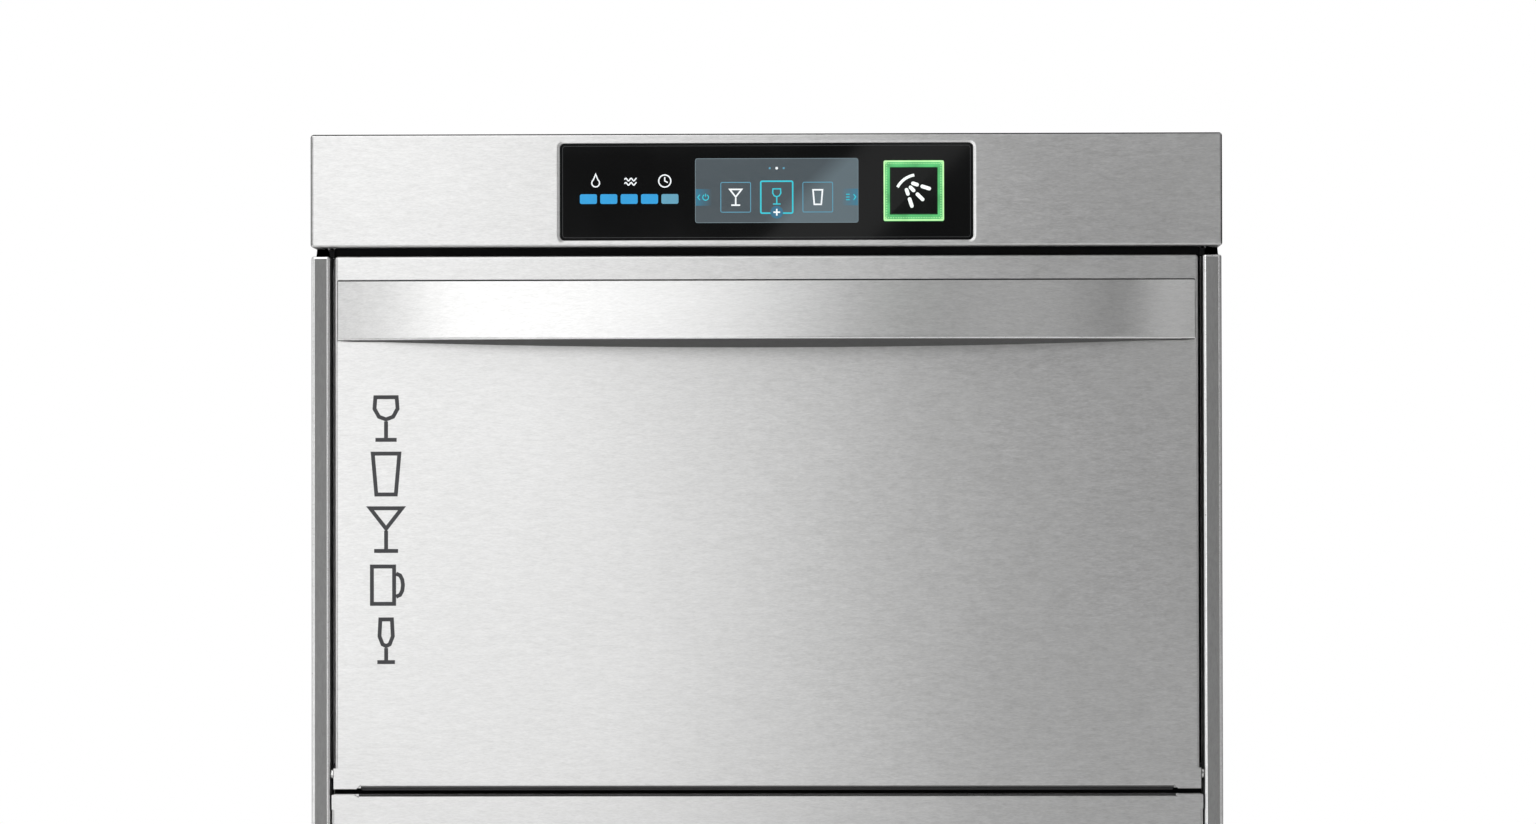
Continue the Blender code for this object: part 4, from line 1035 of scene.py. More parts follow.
def make_spray_arm(node, wide_root, hub, jets, way):
    """Two tapered wings with rounded tips and slotted jets, on a hub that turns on the spindle."""
    low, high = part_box(node)
    z = (low.z + high.z) / 2
    half_height = (high.z - low.z) / 2 - 0.0007
    reach = high.x - ARM_CENTRE[0]
    root, tip_start, stations, bore = hub * 0.8, 0.955, 14, 0.0095
    slots = []
    for wing in (-1, 1):
        for index in range(jets):
            x = ARM_CENTRE[0] + wing * (0.055 + (reach - 0.08) * (index + (0.25 if wing > 0 else 0.0)) / jets)
            spread = wide_root * 0.42
            skin = z + way * half_height
            y = ARM_CENTRE[1] + (spread * 0.35 if index % 2 else -spread * 0.35)
            below, above = sorted((skin - way * 0.003, skin + way * PAST))
            slots.append(((x - 0.0011, y - spread, below), (x + 0.0011, y + spread, above)))
    wings = []
    for wing in (-1, 1):
        sections = []
        for station in range(stations + 1):
            out = root + (reach - root) * math.sin(math.pi / 2 * station / stations) ** 0.9
            along = (out - root) / (reach - root)
            tip = math.sqrt(max(1.0 - max(along - tip_start, 0.0) ** 2 / (1 - tip_start) ** 2, 0.0))
            wide = max(wide_root * (1 - 0.36 * along) * tip, 0.0004)
            tall = max(half_height * (1 - 0.22 * along * along) * (0.35 + 0.65 * tip), 0.0004)
            outline = [(ARM_CENTRE[1] + math.copysign(abs(a) ** 0.75, a) * wide,
                        z + math.copysign(abs(b) ** 0.55, b) * tall) for a, b in circle((0.0, 0.0), 1.0, 24)]
            sections.append(section(outline, "x", ARM_CENTRE[0] + wing * out))
        wings.append(cut(loft(sections), *[box(*slot) for slot in slots]))
    boss = sleeve("z", ARM_CENTRE, bore, hub, low.z, high.z, 0.0012)
    collar = sleeve("z", ARM_CENTRE, bore, root, z - half_height * 0.4, z + half_height * 0.4)
    piece(node + "_wings", [*wings, boss, collar], "inner_steel", node, node)


def make_arm_nut(node, up):
    """A knurled cap nut in two tiers."""
    low, high, _, outer = measured(node, "z")
    facets = 72
    base, top = (low.z, high.z) if up else (high.z, low.z)
    sections = []
    for share, size in ((0.0, 0.94), (0.12, 1.0), (0.62, 1.0), (0.74, 0.93), (0.78, 0.74), (0.94, 0.72),
                        (1.0, 0.68)):
        knurl = 0.045 if size > 0.9 else 0.0
        outline = wavy(ARM_CENTRE, facets,
                       lambda step, angle: outer * size * (1.0 - knurl * (0.5 + 0.5 * math.cos(12 * angle))))
        sections.append(section(outline, "z", base + (top - base) * share))
    bore = [section(circle(ARM_CENTRE, 0.0095, facets), "z", along) for along in (top, base)]
    piece(node + "_cap", loft(sections + bore, ring=True), "blue_plastic", node)


# ---- feet and connections ----
def make_foot(node):
    """A rubber sole under a steel dome, and the threaded stem with its hexagon and lock nut."""
    top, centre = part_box(node)[1].z, middle(node, "z")
    sole = mm(0.0, (0, 0), (17.5, 0), (19, 0.6), (19.8, 2), (20, 3.5), (20, 6), (0, 6))
    stem = mm(0.0, (0, 5.5), (19.6, 5.5), (19.9, 6.4), (19.4, 9.2), (17.6, 11.8), (14, 13.6), (9.8, 14.8),
              (9.8, 15.6), (5.8, 15.8), (5.8, 24.5))
    stem += [*threads(0.006, 0.025, top - 0.0012, 0.0016, 0.0007), *mm(top, (5, 0), (0, 0))]
    nuts = [bolt("z", centre, 0.0158, 1, 0.01, 0.0082), bolt("z", centre, 0.027, 1, 0.0098, 0.005)]
    piece(node + "_pad", turned(sole, "z", centre), "rubber", None, node)
    piece(node + "_stem", [turned(stem, "z", centre), *nuts], "bright_steel", node, node)


VALVE_LEVEL = 0.095             # height of the inlet in the niche
DRAIN_LEVEL = 0.09              # height of the outlet and the gland
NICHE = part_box("connection_panel")[0].y    # the y of the panel that they sit in


def make_connection_panel():
    """The recessed panel for the connections: a plate with a top flange and two side cheeks."""
    low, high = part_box("connection_panel")
    path = fillet([(low.y, low.z), (low.y, high.z - 0.0015), (high.y, high.z - 0.0015)], 0.002)
    sheet = prism(thick(path, SHEET), "x", low.x, high.x)
    openings = (("inlet_valve", VALVE_LEVEL, 0.0145), ("cable_gland", DRAIN_LEVEL, 0.0085),
                ("drain_outlet", DRAIN_LEVEL, 0.0126))
    holes = [disc("y", (middle(node, "y")[0], level), radius, low.y - PAST, low.y + PAST)
             for node, level, radius in openings]
    cheeks = [box((x, low.y + 0.0005, low.z), (x + SHEET, high.y, high.z - 0.002))
              for x in (low.x, high.x - SHEET)]
    screws = [screw_head("y", (x, low.z + 0.012), low.y + 0.0016, 1) for x in (low.x + 0.016, high.x - 0.016)]
    # the plate gets darker steel that paints the shade in the recess
    piece("connection_plate", [cut(sheet, *holes), *cheeks], "niche_painted_shade_steel", "connection_panel", soften=0.0003)
    piece("connection_screws", screws, "bright_steel")


def make_inlet_valve():
    """A moulded valve with its coil on top, and a threaded inlet."""
    low, high, (x, _), half = measured("inlet_valve", "y")
    z = VALVE_LEVEL
    case = rounded(box((low.x, low.y, z - half), (high.x, NICHE - 0.0025, z + half)), 0.004, 4)
    profile = mm(NICHE, (0, -6), (12.6, -6), (12.6, 4.2))
    profile += threads(0.0132, NICHE + 0.0048, high.y - 0.0012, 0.002, 0.001)
    profile += mm(high.y, (11.8, 0), (9.5, 0)) + mm(NICHE, (9.5, 6), (0, 6))
    ribs = [box((low.x + 0.004 * k, low.y + 0.001, z - half - 0.0006),
                (low.x + 0.004 * k + 0.0015, NICHE - 0.01, z + half + 0.0006)) for k in (1, 3, 5, 7)]
    piece("valve_body", [case, turned(profile, "y", (x, z)), *ribs], "blue_plastic", "inlet_valve")
    y, base = low.y + 0.024, z + half - 0.001
    profile = mm(base, (0, 0), (14, 0)) + mm(high.z, (14, -4), (12.8, -1.5), (6, -1), (5.5, 0), (0, 0))
    tabs = [box((x + out - 0.0032, y - 0.015, base + 0.006), (x + out + 0.0032, y - 0.012, base + 0.0066))
            for out in (-0.005, 0.005)]
    piece("valve_coil", [turned(profile, "z", (x, y)), *tabs], "black_plastic")


def make_cable_gland():
    low, high, centre, _ = measured("cable_gland", "y")
    seat = NICHE + SHEET + HAIR
    profile = mm(low.y, (4, 0), (8, 0)) + threads(0.008, low.y + 0.0004, seat - 0.001)
    profile += mm(seat, (8, 0), (10.6, 0), (10.6, 1.2))
    profile += mm(high.y, (10.6, -12), (9.8, -9), (7.8, -3.5), (5.8, -0.6), (5.2, 0), (4, 0))
    collar = mm(seat, (10, 0), (12, 0), (12, 5.8), (11.2, 6.6), (10, 6.6))
    collar = turned(collar, "y", centre, 6, closed=True)
    ribs = [disc("y", spot, 0.0009, seat + 0.0066, high.y - 0.01, 0.0002, 8)
            for spot in circle(centre, 0.0104, 12)]
    piece("gland_body", [turned(profile, "y", centre, closed=True), collar, *ribs], "black_plastic",
          "cable_gland")


def make_drain_outlet():
    """A hose spigot with four barbs."""
    low, high, centre, outer = measured("drain_outlet", "y")
    profile = [(outer - 0.002, low.y), (outer - 0.0006, low.y), (outer - 0.0006, 0.29)]
    for barb in range(4):
        start = 0.291 + barb * 0.005
        profile += [(outer - 0.0012, start), (outer, start + 0.0004), (outer - 0.0012, start + 0.0046)]
    profile += [(outer - 0.0014, high.y), (outer - 0.002, high.y)]
    piece("drain_spigot", turned(profile, "y", centre, closed=True), "grey_plastic", "drain_outlet")


# ---- machinery under the tank ----
PUMP_LOW, PUMP_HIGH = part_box("wash_pump_housing")
PUMP_CENTRE = (-0.06, 0.105)    # the pump's axis, as y and z
PUMP_RADIUS = 0.052             # outer radius of its housing
OUTLET_LEVEL = PUMP_CENTRE[1] + PUMP_RADIUS - 0.0105    # height of its outlet neck


def make_wash_pump():
    """Volute housing with a ring of screw bosses and an outlet neck."""
    half, rim = -PUMP_LOW.x, PUMP_RADIUS * 1000
    profile = mm(-half, (8, 0), (30, 0), (40, 1.5), (47, 5), (rim - 0.4, 9), (rim, 12))
    profile += mm(half, (rim, -8), (rim - 1, -4), (48, -1), (30, 0), (21, 0), (20, 2))
    profile += mm(PUMP_HIGH.x, (20, -8), (20.8, -7.2), (20.8, -3), (19.6, 0), (16, 0))
    profile += mm(half, (16, -4), (rim - 4, -6)) + mm(-half, (rim - 4, 12), (8, 4))
    casing = turned(profile, "x", PUMP_CENTRE, 64, closed=True)
    outlet = (0.0, OUTLET_LEVEL)
    neck = sleeve("y", outlet, 0.009, 0.0125, PUMP_CENTRE[0] + 0.012, PUMP_HIGH.y)
    bead = sleeve("y", outlet, 0.009, 0.0135, PUMP_HIGH.y - 0.006, PUMP_HIGH.y - 0.0025)
    bosses = [disc("x", spot, 0.0042, half - 0.012, half - 0.0004, steps=16)
              for spot in circle(PUMP_CENTRE, 0.047, 8, 22.5)]
    piece("pump_volute", [casing, neck, bead, *bosses], "black_plastic", "wash_pump_housing")


def make_motor():
    """A finned motor between its end bell and the fan's cowl."""
    low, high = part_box("wash_pump_motor")
    start, end = high.x, low.x
    fins = wavy(PUMP_CENTRE, 160, lambda step, angle: 0.044 if step % 4 < 2 else 0.0405)
    bell = mm(start, (0, 0), (8, 0), (8, 3), (38, 3), (42.8, 6), (43.2, 15), (0, 15), way=-1)
    cowl = mm(end, (0, 31), (43.6, 31), (44, 28), (43, 6), (38, 0), (15, 0), (14, 2), (0, 2))
    piece("motor_body", [prism(fins, "x", start - 0.014, end + 0.03), turned(bell, "x", PUMP_CENTRE),
                         turned(cowl, "x", PUMP_CENTRE)], "motor_paint", "wash_pump_motor")


def make_impeller():
    """A hub and a back plate that carries five curved vanes."""
    low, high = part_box("wash_pump_impeller")
    profile = mm(high.x, (0, 0), (8, 0), (11, -4))
    profile += mm(0.0, (12, -6), (20, -9.5), (37.5, -10), (38, -10.5), (38, -13), (20, -13), (15, -15))
    profile += mm(0.0, (6, -16)) + mm(low.x, (6, 0), (0, 0))
    vanes = []
    for vane in range(5):
        spiral = []
        for step in range(9):
            turn = math.degrees(2 * math.pi * vane / 5 - 0.9 * step / 8)
            spiral += circle(PUMP_CENTRE, 0.0105 + 0.026 * step / 8, 1, turn)
        outline = [*offset(spiral, -0.0008), *reversed(offset(spiral, 0.0008))]
        vanes.append(prism(outline, "x", -0.0102, 0.003))
    piece("impeller_wheel", [turned(profile, "x", PUMP_CENTRE), *vanes], "grey_plastic", "wash_pump_impeller",
          "impeller")


def make_hoses():
    """The suction and drain hoses with their clips, and the riser that feeds the upper arms."""
    low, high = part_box("suction_hose")
    y, z = PUMP_CENTRE
    radius = 0.0178
    route = [(low.x, y, z), (SUCTION_HOLE[0], y, z), (SUCTION_HOLE[0], y, high.z)]
    piece("suction_elbow", pipe(route, 0.038, radius, 28, 14), "rubber", "suction_hose")
    clips = clamp("x", PUMP_CENTRE, radius, low.x + 0.008) + clamp("z", SUCTION_HOLE, radius, high.z - 0.009)

    low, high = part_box("drain_hose")
    x, y = FILTER_CENTRE
    drain = (middle("drain_outlet", "y")[0], DRAIN_LEVEL)
    radius = 0.0118
    route = [(x, y, high.z), (x, y, drain[1]), (drain[0], y + 0.055, drain[1]), (drain[0], high.y, drain[1])]
    piece("drain_elbow", pipe(route, 0.024, radius, 24, 14), "rubber", "drain_hose")
    clips += clamp("z", FILTER_CENTRE, radius, high.z - 0.008) + clamp("y", drain, radius, high.y - 0.008)
    piece("hose_clips", clips, "bright_steel")

    low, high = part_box("riser_pipe")
    radius = 0.0105
    behind, top, y = high.y - radius, high.z - radius, ARM_CENTRE[1]
    route = [(0.0, low.y, OUTLET_LEVEL), (0.0, behind, OUTLET_LEVEL), (0.0, behind, top), (0.0, y, top),
             (0.0, y, 0.6936)]
    branch = sleeve("z", ARM_CENTRE, 0.007, 0.0095, OUTLET_LEVEL + 0.0095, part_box("wash_tank")[0].z - HAIR)
    piece("riser_tube", [pipe(route, 0.014, radius * 0.985, 24, 12), branch], "bright_steel", "riser_pipe")


def make_boiler():
    """A vessel with a domed end and two straps, closed by a flange that carries its heating loop."""
    low, high, centre, outer = measured("boiler", "y")
    dome, wall, spring = 0.016, outer - 0.0012, high.y - 0.02
    profile = [(outer, low.y), (outer, low.y + 0.003), (wall, low.y + 0.004), (wall, spring)]
    profile += [(wall - dome * (1 - math.cos(math.radians(a))), spring + dome * math.sin(math.radians(a)))
                for a in range(10, 90, 10)]
    profile += mm(high.y, (15, -2), (12, 0), (0, 0), (0, -1.5), (14, -4.5))
    profile += [(outer - 0.02, high.y - 0.008), (outer - 0.004, high.y - 0.024), (outer - 0.003, low.y)]
    tank = turned(profile, "y", centre, 64, closed=True)
    bands = [sleeve("y", centre, outer - 0.0014, outer - 0.0003, y, y + 0.012, 0.0004) for y in (-0.09, 0.07)]
    piece("boiler_vessel", [tank, *bands], "inner_steel", "boiler")
    low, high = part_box("boiler_heater")
    flange = disc("y", centre, outer, low.y, low.y + 0.006, 0.0008, 64)
    studs = [bolt("y", spot, low.y + 0.0001, 1, 0.0036) for spot in circle(centre, outer - 0.007, 8)]
    left, right, bar, z = centre[0] - 0.02, centre[0] + 0.02, 0.0042, centre[1]
    front, rear = low.y + 0.004, high.y - bar
    loop = pipe([(left, front, z), (left, rear, z), (right, rear, z), (right, front, z)], 0.015, bar)
    piece("boiler_element", [flange, loop, *studs], "bright_steel", "boiler_heater")


def make_small_pump(node, body_length):
    """A round motor can with cooling slots, a narrower pump head and a ring of screws."""
    low, high, centre, outer = measured(node, "y")
    start = high.y - body_length
    profile = [(0.0, low.y)]
    if start - low.y > 0.005:
        profile += mm(low.y, (7.8, 0), (8, 1)) + [(0.008, start)]
    profile += [(outer * share, start + step * MM) for share, step in (
        (0.8, 0), (0.85, 2), (0.85, 22), (0.95, 24), (0.95, 29), (1.0, 30))]
    for groove in range(5):
        at = start + 0.036 + groove * 0.006
        inner = outer - 0.0015
        profile += [(outer, at), (inner, at + 0.0008), (inner, at + 0.0022), (outer, at + 0.003)]
    profile += [(outer, high.y - 0.004), (outer - 0.003, high.y), (0.0, high.y)]
    screws = [disc("y", spot, 0.0028, start + 0.0205, start + 0.0262, steps=12)
              for spot in circle(centre, outer * 0.88, 6)]
    piece(node + "_body", [turned(profile, "y", centre), *screws], "black_plastic", node)


def make_dosing_pump(node):
    """A hose pump: a square case, its round lid with grip dents and two hose stubs."""
    low, high, centre, _ = measured(node, "y")
    case = rounded(box((low.x, low.y + 0.0165, low.z), high), 0.003, 4)
    rim = wavy(centre, 96, lambda step, angle: 0.02 - 0.001 * (0.5 + 0.5 * math.cos(8 * angle)) ** 4)
    lid = rounded(prism(rim, "y", low.y + 0.002, low.y + 0.0175), 0.0006, 2,
                  lambda edge: max(v.co.y for v in edge.verts) < low.y + 0.0021)
    hub = disc("y", centre, 0.006, low.y, low.y + 0.004)
    stubs = [disc("z", (centre[0] + x, low.y + 0.01), 0.0028, centre[1] - 0.0265, centre[1] - 0.012)
             for x in (-0.008, 0.008)]
    piece(node + "_case", [case, lid, hub, *stubs], "grey_plastic", node)


def make_electrics_box():
    low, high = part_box("electrics_box")
    seam, wall, entry = high.z - 0.006, 0.002, (0.02, 0.09)
    case = rounded(box(low, (high.x, high.y, seam - 0.0004)), 0.003, 4)
    lid = rounded(box((low.x, low.y, seam), high), 0.0025, 4)
    screws = [screw_head("z", (x, y), high.z + 0.0001, 1) for x in (low.x + 0.01, high.x - 0.01)
              for y in (low.y + 0.01, high.y - 0.01)]
    hollow = box(low + Vector((wall, wall, wall)), (high.x - wall, high.y - wall, seam + 0.001))
    case = cut(case, hollow, disc("y", entry, 0.0088, high.y - PAST, high.y + PAST))
    grommet = sleeve("y", entry, 0.006, 0.009, high.y - 0.004, high.y - 0.0002)
    piece("electrics_case", [case, lid, grommet], "grey_plastic", "electrics_box")
    piece("electrics_screws", screws, "bright_steel")


# ---- controls ----
GLASS_PRINT = GLASS_LOW.y - PRINT    # the plane of the prints on the glass
# Each glass is its bowl's outline, and its foot's height and half width where it has a stem.
GLASSES = {
    "cone": ([(-0.36, 0.48), (0.36, 0.48), (0.0, 0.02)], -0.48, 0.27),
    "wine": ([(-0.24, 0.48), (0.24, 0.48), (0.26, 0.22), (0.16, 0.04), (0.0, -0.02), (-0.16, 0.04),
              (-0.26, 0.22)], -0.48, 0.24),
    "flute": ([(-0.13, 0.48), (0.13, 0.48), (0.15, 0.1), (0.08, -0.08), (0.0, -0.12), (-0.08, -0.08),
               (-0.15, 0.1)], -0.48, 0.2),
    "tumbler": ([(-0.3, 0.46), (0.3, 0.46), (0.22, -0.46), (-0.22, -0.46)], None, None),
    "mug": ([(-0.32, 0.42), (0.18, 0.42), (0.18, -0.42), (-0.32, -0.42)], None, None),
}


def glass_glyph(kind, centre, height, width, front):
    """A pictogram of one kind of drinking glass, drawn with an even line."""
    bowl, foot, spread = GLASSES[kind]
    edge = width / height / 2

    def drawn(points, closed=False):
        placed = [(centre[0] + a * height, centre[1] + b * height) for a, b in points]
        return stroke(placed, width, front, closed)

    shapes = [drawn(bowl[::-1], True)]
    if foot is not None:
        lowest = min(b for a, b in bowl)
        lines = ([(0.0, lowest - edge), (0.0, foot + edge)], [(-spread, foot), (spread, foot)])
        shapes += [drawn(line) for line in lines]
    if kind == "mug":
        ear = [(0.24 + 0.14 * math.cos(a), 0.26 * math.sin(a)) for a in (1.0, 0.5, 0.0, -0.5, -1.0)]
        shapes.append(drawn([(0.18 + edge, 0.26), *ear, (0.18 + edge, -0.26)]))
    return shapes


def make_glass():
    """The black control glass with its hole for the start key, and the thin line along its edge."""
    low, high = GLASS_LOW, GLASS_HIGH
    corners, radius = face(low, high), 0.0026
    rows = ((0.0, HAIR), (HAIR, 0.0), (high.y - low.y, 0.0))
    hole = rounded_rectangle(*grown(*face(RING_LOW, RING_HIGH), HAIR), 0.0013, 5)
    sheet = cut(loft(stepped(corners, radius, low.y, rows, 6)), plate(hole, low.y - PAST, 0.03))
    piece("front_glass", sheet, "black_glass", "control_glass")
    line_out = rounded_rectangle(*grown(*corners, -0.0013), 0.0019, 6)
    line_in = rounded_rectangle(*grown(*corners, -0.0016), 0.0016, 6)
    piece("glass_border_line", hoop(line_out, line_in, GLASS_PRINT), "glass_border")


def make_status_marks():
    """A row of five progress segments under three small status marks, on the left of the glass."""
    left, right, low, high, gap, count = -0.1224, -0.0553, 0.6788, 0.6852, 0.0022, 5
    pitch = (right - left) / count
    starts = [left + pitch * index for index in range(count)]
    bars = [plate(rounded_rectangle((x, low), (x + pitch - gap, high), 0.0012), GLASS_PRINT) for x in starts]
    piece("progress_bar_blue", bars[:4], "bar_blue")
    piece("progress_icon_outline", bars[4:], "icon_outline")
    z, width, clock = 0.6938, 0.0008, (-0.0665, 0.6938)
    drop = arc((-0.112, z - 0.0012), 0.0026, -235, 55, 10) + [(-0.112, z + 0.0045)]
    waves = [[(-0.093 + 0.0005 * step, z + level + 0.0009 * math.sin(step * 0.9)) for step in range(17)]
             for level in (-0.0018, 0.001)]
    hands = [(clock[0], z + 0.0026), clock, (clock[0] + 0.002, z - 0.001)]
    marks = [stroke(drop, width, GLASS_PRINT, True), *[stroke(wave, width, GLASS_PRINT) for wave in waves],
             stroke(arc(clock, 0.004, 360, 0, 20)[:-1], width, GLASS_PRINT, True),
             stroke(hands, width, GLASS_PRINT)]
    piece("status_marks", marks, "icon_white")


def make_display():
    """The display: three tiles with glasses, the chosen one's badge, page dots and a key at each end."""
    cx, cz = DISPLAY_CENTRE
    z, corners = TILE_HEIGHT, face(DISPLAY_LOW, DISPLAY_HIGH)
    window = rounded_rectangle(*corners, 0.0016)
    inner = rounded_rectangle(*grown(*corners, -0.0003), 0.0013)
    top = GLASS_PRINT - PRINT
    piece("display_window", plate(window, GLASS_PRINT), "display")
    piece("display_edge", hoop(window, inner, top), "display_edge")

    tile, chosen, spacing, thin = 0.0098, 0.0105, 0.027, 0.0006
    dim = [stroke(square((cx + x, z), tile, 0.0009), 0.0005, top, True) for x in (-spacing, spacing)]
    bright = stroke(square((cx, z), chosen, 0.0009), 0.001, top, True)
    white = glass_glyph("cone", (cx - spacing, z), 0.0108, 0.001, top)
    white += glass_glyph("tumbler", (cx + spacing, z), 0.0104, 0.001, top)
    cyan = glass_glyph("wine", (cx, z + 0.0005), 0.0104, 0.0008, top)
    badge, arm = (cx, z - 0.0099), 0.0022
    piece("display_badge", plate(circle(badge, 0.0042, 32), top - PRINT), "icon_blue")
    for a, b in ((arm, 0.0), (0.0, arm)):
        ends = [(badge[0] - a, badge[1] - b), (badge[0] + a, badge[1] + b)]
        white.append(stroke(ends, 0.001, top - 2 * PRINT))
    for x, radius, group in ((0.0, 0.0009, white), (-0.0046, 0.0007, dim), (0.0046, 0.0007, dim)):
        group.append(plate(circle((cx + x, cz + 0.0147), radius, 16), top))
    left, right = cx - 0.0484, cx + 0.0484
    lines = [[(x + side * 0.0022, z + 0.0018), (x + side * 0.0036, z), (x + side * 0.0022, z - 0.0018)]
             for side, x in ((-1, left), (1, right))]
    power = left + 0.0016
    lines += [arc((power, z), 0.0019, 120, 420, 14), [(power, z + 0.0004), (power, z + 0.0024)]]
    lines += [[(right - 0.0028, z + level), (right - 0.0004, z + level)] for level in (-0.0018, 0.0, 0.0018)]
    cyan += [stroke(line, thin, top - PRINT) for line in lines]
    piece("display_tiles", dim, "icon_outline")
    piece("display_chosen_tile", bright, "icon_cyan")
    piece("display_white_marks", white, "icon_white")
    piece("display_cyan_marks", cyan, "icon_cyan")


def make_start_button():
    """A lit square ring round a dark key with a spray mark: a curved bar and three jets of two drops."""
    (cx, cz), outer, key = BUTTON, half_width("start_light_ring"), half_width("start_button")
    inner, front, rim, skin = key + HAIR, RING_LOW.y, 0.001, 0.0001
    outline = square(BUTTON, outer, 0.001)
    body = hoop(outline, square(BUTTON, inner, 0.0004), front + skin, RING_HIGH.y - front - skin)
    piece("ring_light", body, "green_band", "start_light_ring")
    piece("ring_rim", hoop(outline, square(BUTTON, outer - rim, 0.0006), front, skin), "green_edge")
    ticks = []
    reach, gap, size = outer - rim - 0.0005, 0.0016, 0.00032
    count = int(2 * reach / gap)
    for index in range(count + 1):
        along = -reach + 2 * reach * index / count
        for across in (rim + 0.001 - outer, outer - rim - 0.001):
            for a, b in ((along, across), (across, along)):
                ticks.append(plate(square((cx + a, cz + b), size, 0.0001, 1), front + 0.00004, 0.00006))
    piece("ring_ticks", ticks, "green_edge")

    rows = ((0.0, 0.0005), (0.0002, 0.0002), (0.0005, 0.0), (0.007, 0.0))
    cap = loft(stepped(((cx - key, cz - key), (cx + key, cz + key)), 0.0012, front, rows, 4))
    stem = disc("y", BUTTON, 0.005, front + 0.0069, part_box("start_button")[1].y)
    piece("start_key", [cap, stem], "button", "start_button", "start_button")
    marks = [stroke(arc((cx + 0.003, cz - 0.005), 0.0155, 100, 152, 8), 0.0018, front - PRINT)]
    nozzle, round_end = (cx - 0.0068, cz + 0.0068), 0.0012
    for angle in (-18, -45, -72):
        for near, far in ((0.0066, 0.0094), (0.013, 0.0178)):
            inner_end, outer_end = [circle(nozzle, out, 1, angle)[0] for out in (near, far)]
            drop = arc(outer_end, round_end, angle - 90, angle + 90, 8)
            drop += arc(inner_end, round_end, angle + 90, angle + 270, 8)
            marks.append(plate(drop, front - PRINT))
    piece("spray_mark", marks, "icon_bright", None, "start_button")


def make_door_print():
    """A column of drinking-glass pictograms printed on the door's left side."""
    left, right, low, high = -0.267, -0.2334, 0.3734, 0.5561
    kinds = ("wine", "tumbler", "cone", "mug", "flute")
    pitch = (high - low) / len(kinds)
    shapes = []
    for index, kind in enumerate(kinds):
        centre = ((left + right) / 2, high - pitch * (index + 0.5))
        shapes += glass_glyph(kind, centre, pitch * 0.8, 0.0026, FRONT - PRINT)
    piece("door_pictograms", shapes, "print_grey", None, "door")


# ---- stage ----
CAMERA_OFFSET = Vector((0.066, -4.0, -0.0776))    # the camera from the point that it aims at
VIEW_WIDTH = 1.0094             # what the camera sees across the front of the machine
SENSOR = 36.0                   # width of the camera's sensor in mm
AIM = Vector((0.0012, FRONT, 0.5416))    # the point that it aims at
LIGHT_PLANE = -2.2              # the y of the lights in front of the machine


def aimed(place, target, roll):
    """The matrix of a camera or light at a place that looks at a target."""
    look = (Vector(target) - Vector(place)).to_track_quat("-Z", "Y").to_matrix().to_4x4()
    return Matrix.Translation(place) @ look @ Matrix.Rotation(roll, 4, "Z")


def make_camera():
    data = bpy.data.cameras.new("camera")
    data.sensor_width = SENSOR
    data.lens = SENSOR * -CAMERA_OFFSET.y / VIEW_WIDTH
    data.clip_end = 60.0
    camera = linked("camera", data)
    camera.matrix_world = aimed(AIM + CAMERA_OFFSET, AIM, -0.0018)
    bpy.context.scene.camera = camera


def area_light(name, place, target, size, radiance, roll=0.0):
    """A soft rectangular light that the camera doesn't see, given by how bright its face is."""
    data = bpy.data.lights.new(name, "AREA")
    data.shape = "RECTANGLE"
    data.size, data.size_y = size
    data.energy = radiance * math.pi * size[0] * size[1]
    light = linked(name, data)
    light.matrix_world = aimed(place, target, roll)
    light.visible_camera = False


def front_light(name, left, right, low, high, radiance, roll=0.0):
    """An area light in front of the machine that faces straight back."""
    x, z = (left + right) / 2, (low + high) / 2
    area_light(name, (x, LIGHT_PLANE, z), (x, 0.0, z), (right - left, high - low), radiance, roll)


def make_world():
    """White where the camera looks past the machine, soft grey for everything that it reflects."""
    world = bpy.data.worlds.new("studio")
    bpy.context.scene.world = world
    world.use_nodes = True
    tree = world.node_tree
    background = tree.nodes["Background"]
    path = tree.nodes.new("ShaderNodeLightPath")
    strength = tree.nodes.new("ShaderNodeMapRange")
    strength.inputs["To Min"].default_value = 0.12
    strength.inputs["To Max"].default_value = 1.0
    tree.links.new(path.outputs["Is Camera Ray"], strength.inputs["Value"])
    tree.links.new(strength.outputs["Result"], background.inputs["Strength"])
    background.inputs["Color"].default_value = (1.0, 1.0, 1.0, 1.0)


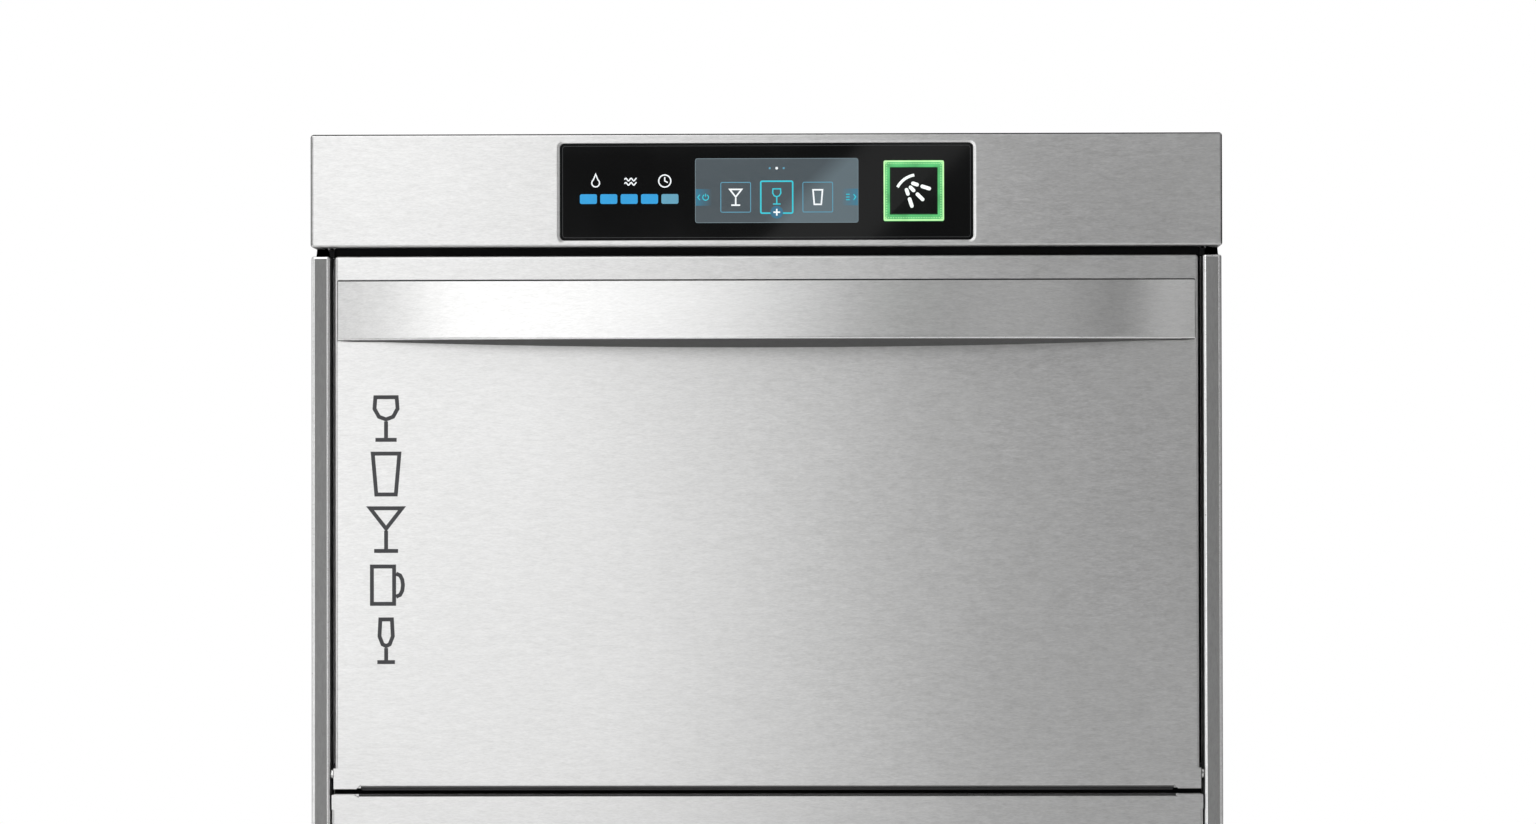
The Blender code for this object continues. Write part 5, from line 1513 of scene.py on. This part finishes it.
def make_lights():
    # The key light leaves out what would show as glare in the control glass.
    left, gap_left, right, top, gap_low, gap_high = -1.0, -0.26, 0.0, 2.6, 0.735, 0.85
    front_light("key", left, gap_left, 0.0, top, 1.4)
    front_light("key_low", gap_left, right, 0.0, gap_low, 1.44)
    front_light("key_high", gap_left, right, gap_high, top, 1.33)
    front_light("right_near", 0.51, 1.01, 0.66, 1.46, 1.0)
    front_light("sheen", -0.1586, 0.2914, 0.755, 0.829, 0.38, math.radians(44))
    area_light("top", (-1.27, -1.2, 2.5), (-1.27, -1.2, 0.0), (2.62, 2.2), 1.6)
    area_light("top_right", (1.4, -1.2, 2.5), (1.4, -1.2, 0.0), (2.2, 2.2), 0.4)
    area_light("left", (-2.3, -0.9, 0.8), (-0.3, -0.3, 0.5), (1.5, 2.0), 1.15)
    area_light("right", (2.4, -1.6, 1.1), (0.2, 0.0, 0.5), (1.6, 2.2), 0.2)
    area_light("back", (0.8, 2.9, 2.9), (0.0, 0.4, 0.4), (3.2, 1.6), 1.3)


# ---- everything ----
bpy.context.scene.view_settings.view_transform = "Standard"
make_materials()
make_world()
make_camera()
make_lights()
piece("studio_floor", disc("z", (0.0, 0.0), 3.0, -0.01, 0.0, steps=96), "floor", body=None)
for make in (make_top_cover, make_lower_panel, make_rear_panel, make_door_skin, make_handle, make_door_inner,
             make_seal, make_gap_shade_strip, make_glass, make_status_marks, make_display, make_start_button,
             make_door_print, make_chamber, make_filter, make_heater, make_spindles, make_connection_panel,
             make_inlet_valve, make_cable_gland, make_drain_outlet, make_wash_pump, make_motor, make_impeller,
             make_hoses, make_boiler, make_electrics_box):
    make()
for side, word in ((-1, "left"), (1, "right")):
    for make in (make_side_panel, make_hinge, make_rack_rail, make_strainer):
        make(side, word)
    for row in ("front", "rear"):
        make_foot("foot_" + row + "_" + word)
for level, way in (("lower", 1), ("upper", -1)):
    make_spray_arm(level + "_wash_arm", 0.016, 0.024, 5, way)
    make_spray_arm(level + "_rinse_arm", 0.0084, 0.015, 6, way)
    make_arm_nut(level + "_arm_nut", way > 0)
make_small_pump("drain_pump", 0.09)
make_small_pump("rinse_pump", 0.085)
make_dosing_pump("detergent_pump")
make_dosing_pump("rinse_aid_pump")
for node, material, soften in (
    ("base_tray", "steel_x", 0.0004), ("chamber_front_frame", "steel_x", 0.0003),
    ("chamber_rear_wall", "inner_steel", 0.0003), ("control_housing", "black_plastic", 0.0006),
    ("display_module", "black_plastic", 0.0004),
):
    dress(node, material, soften)
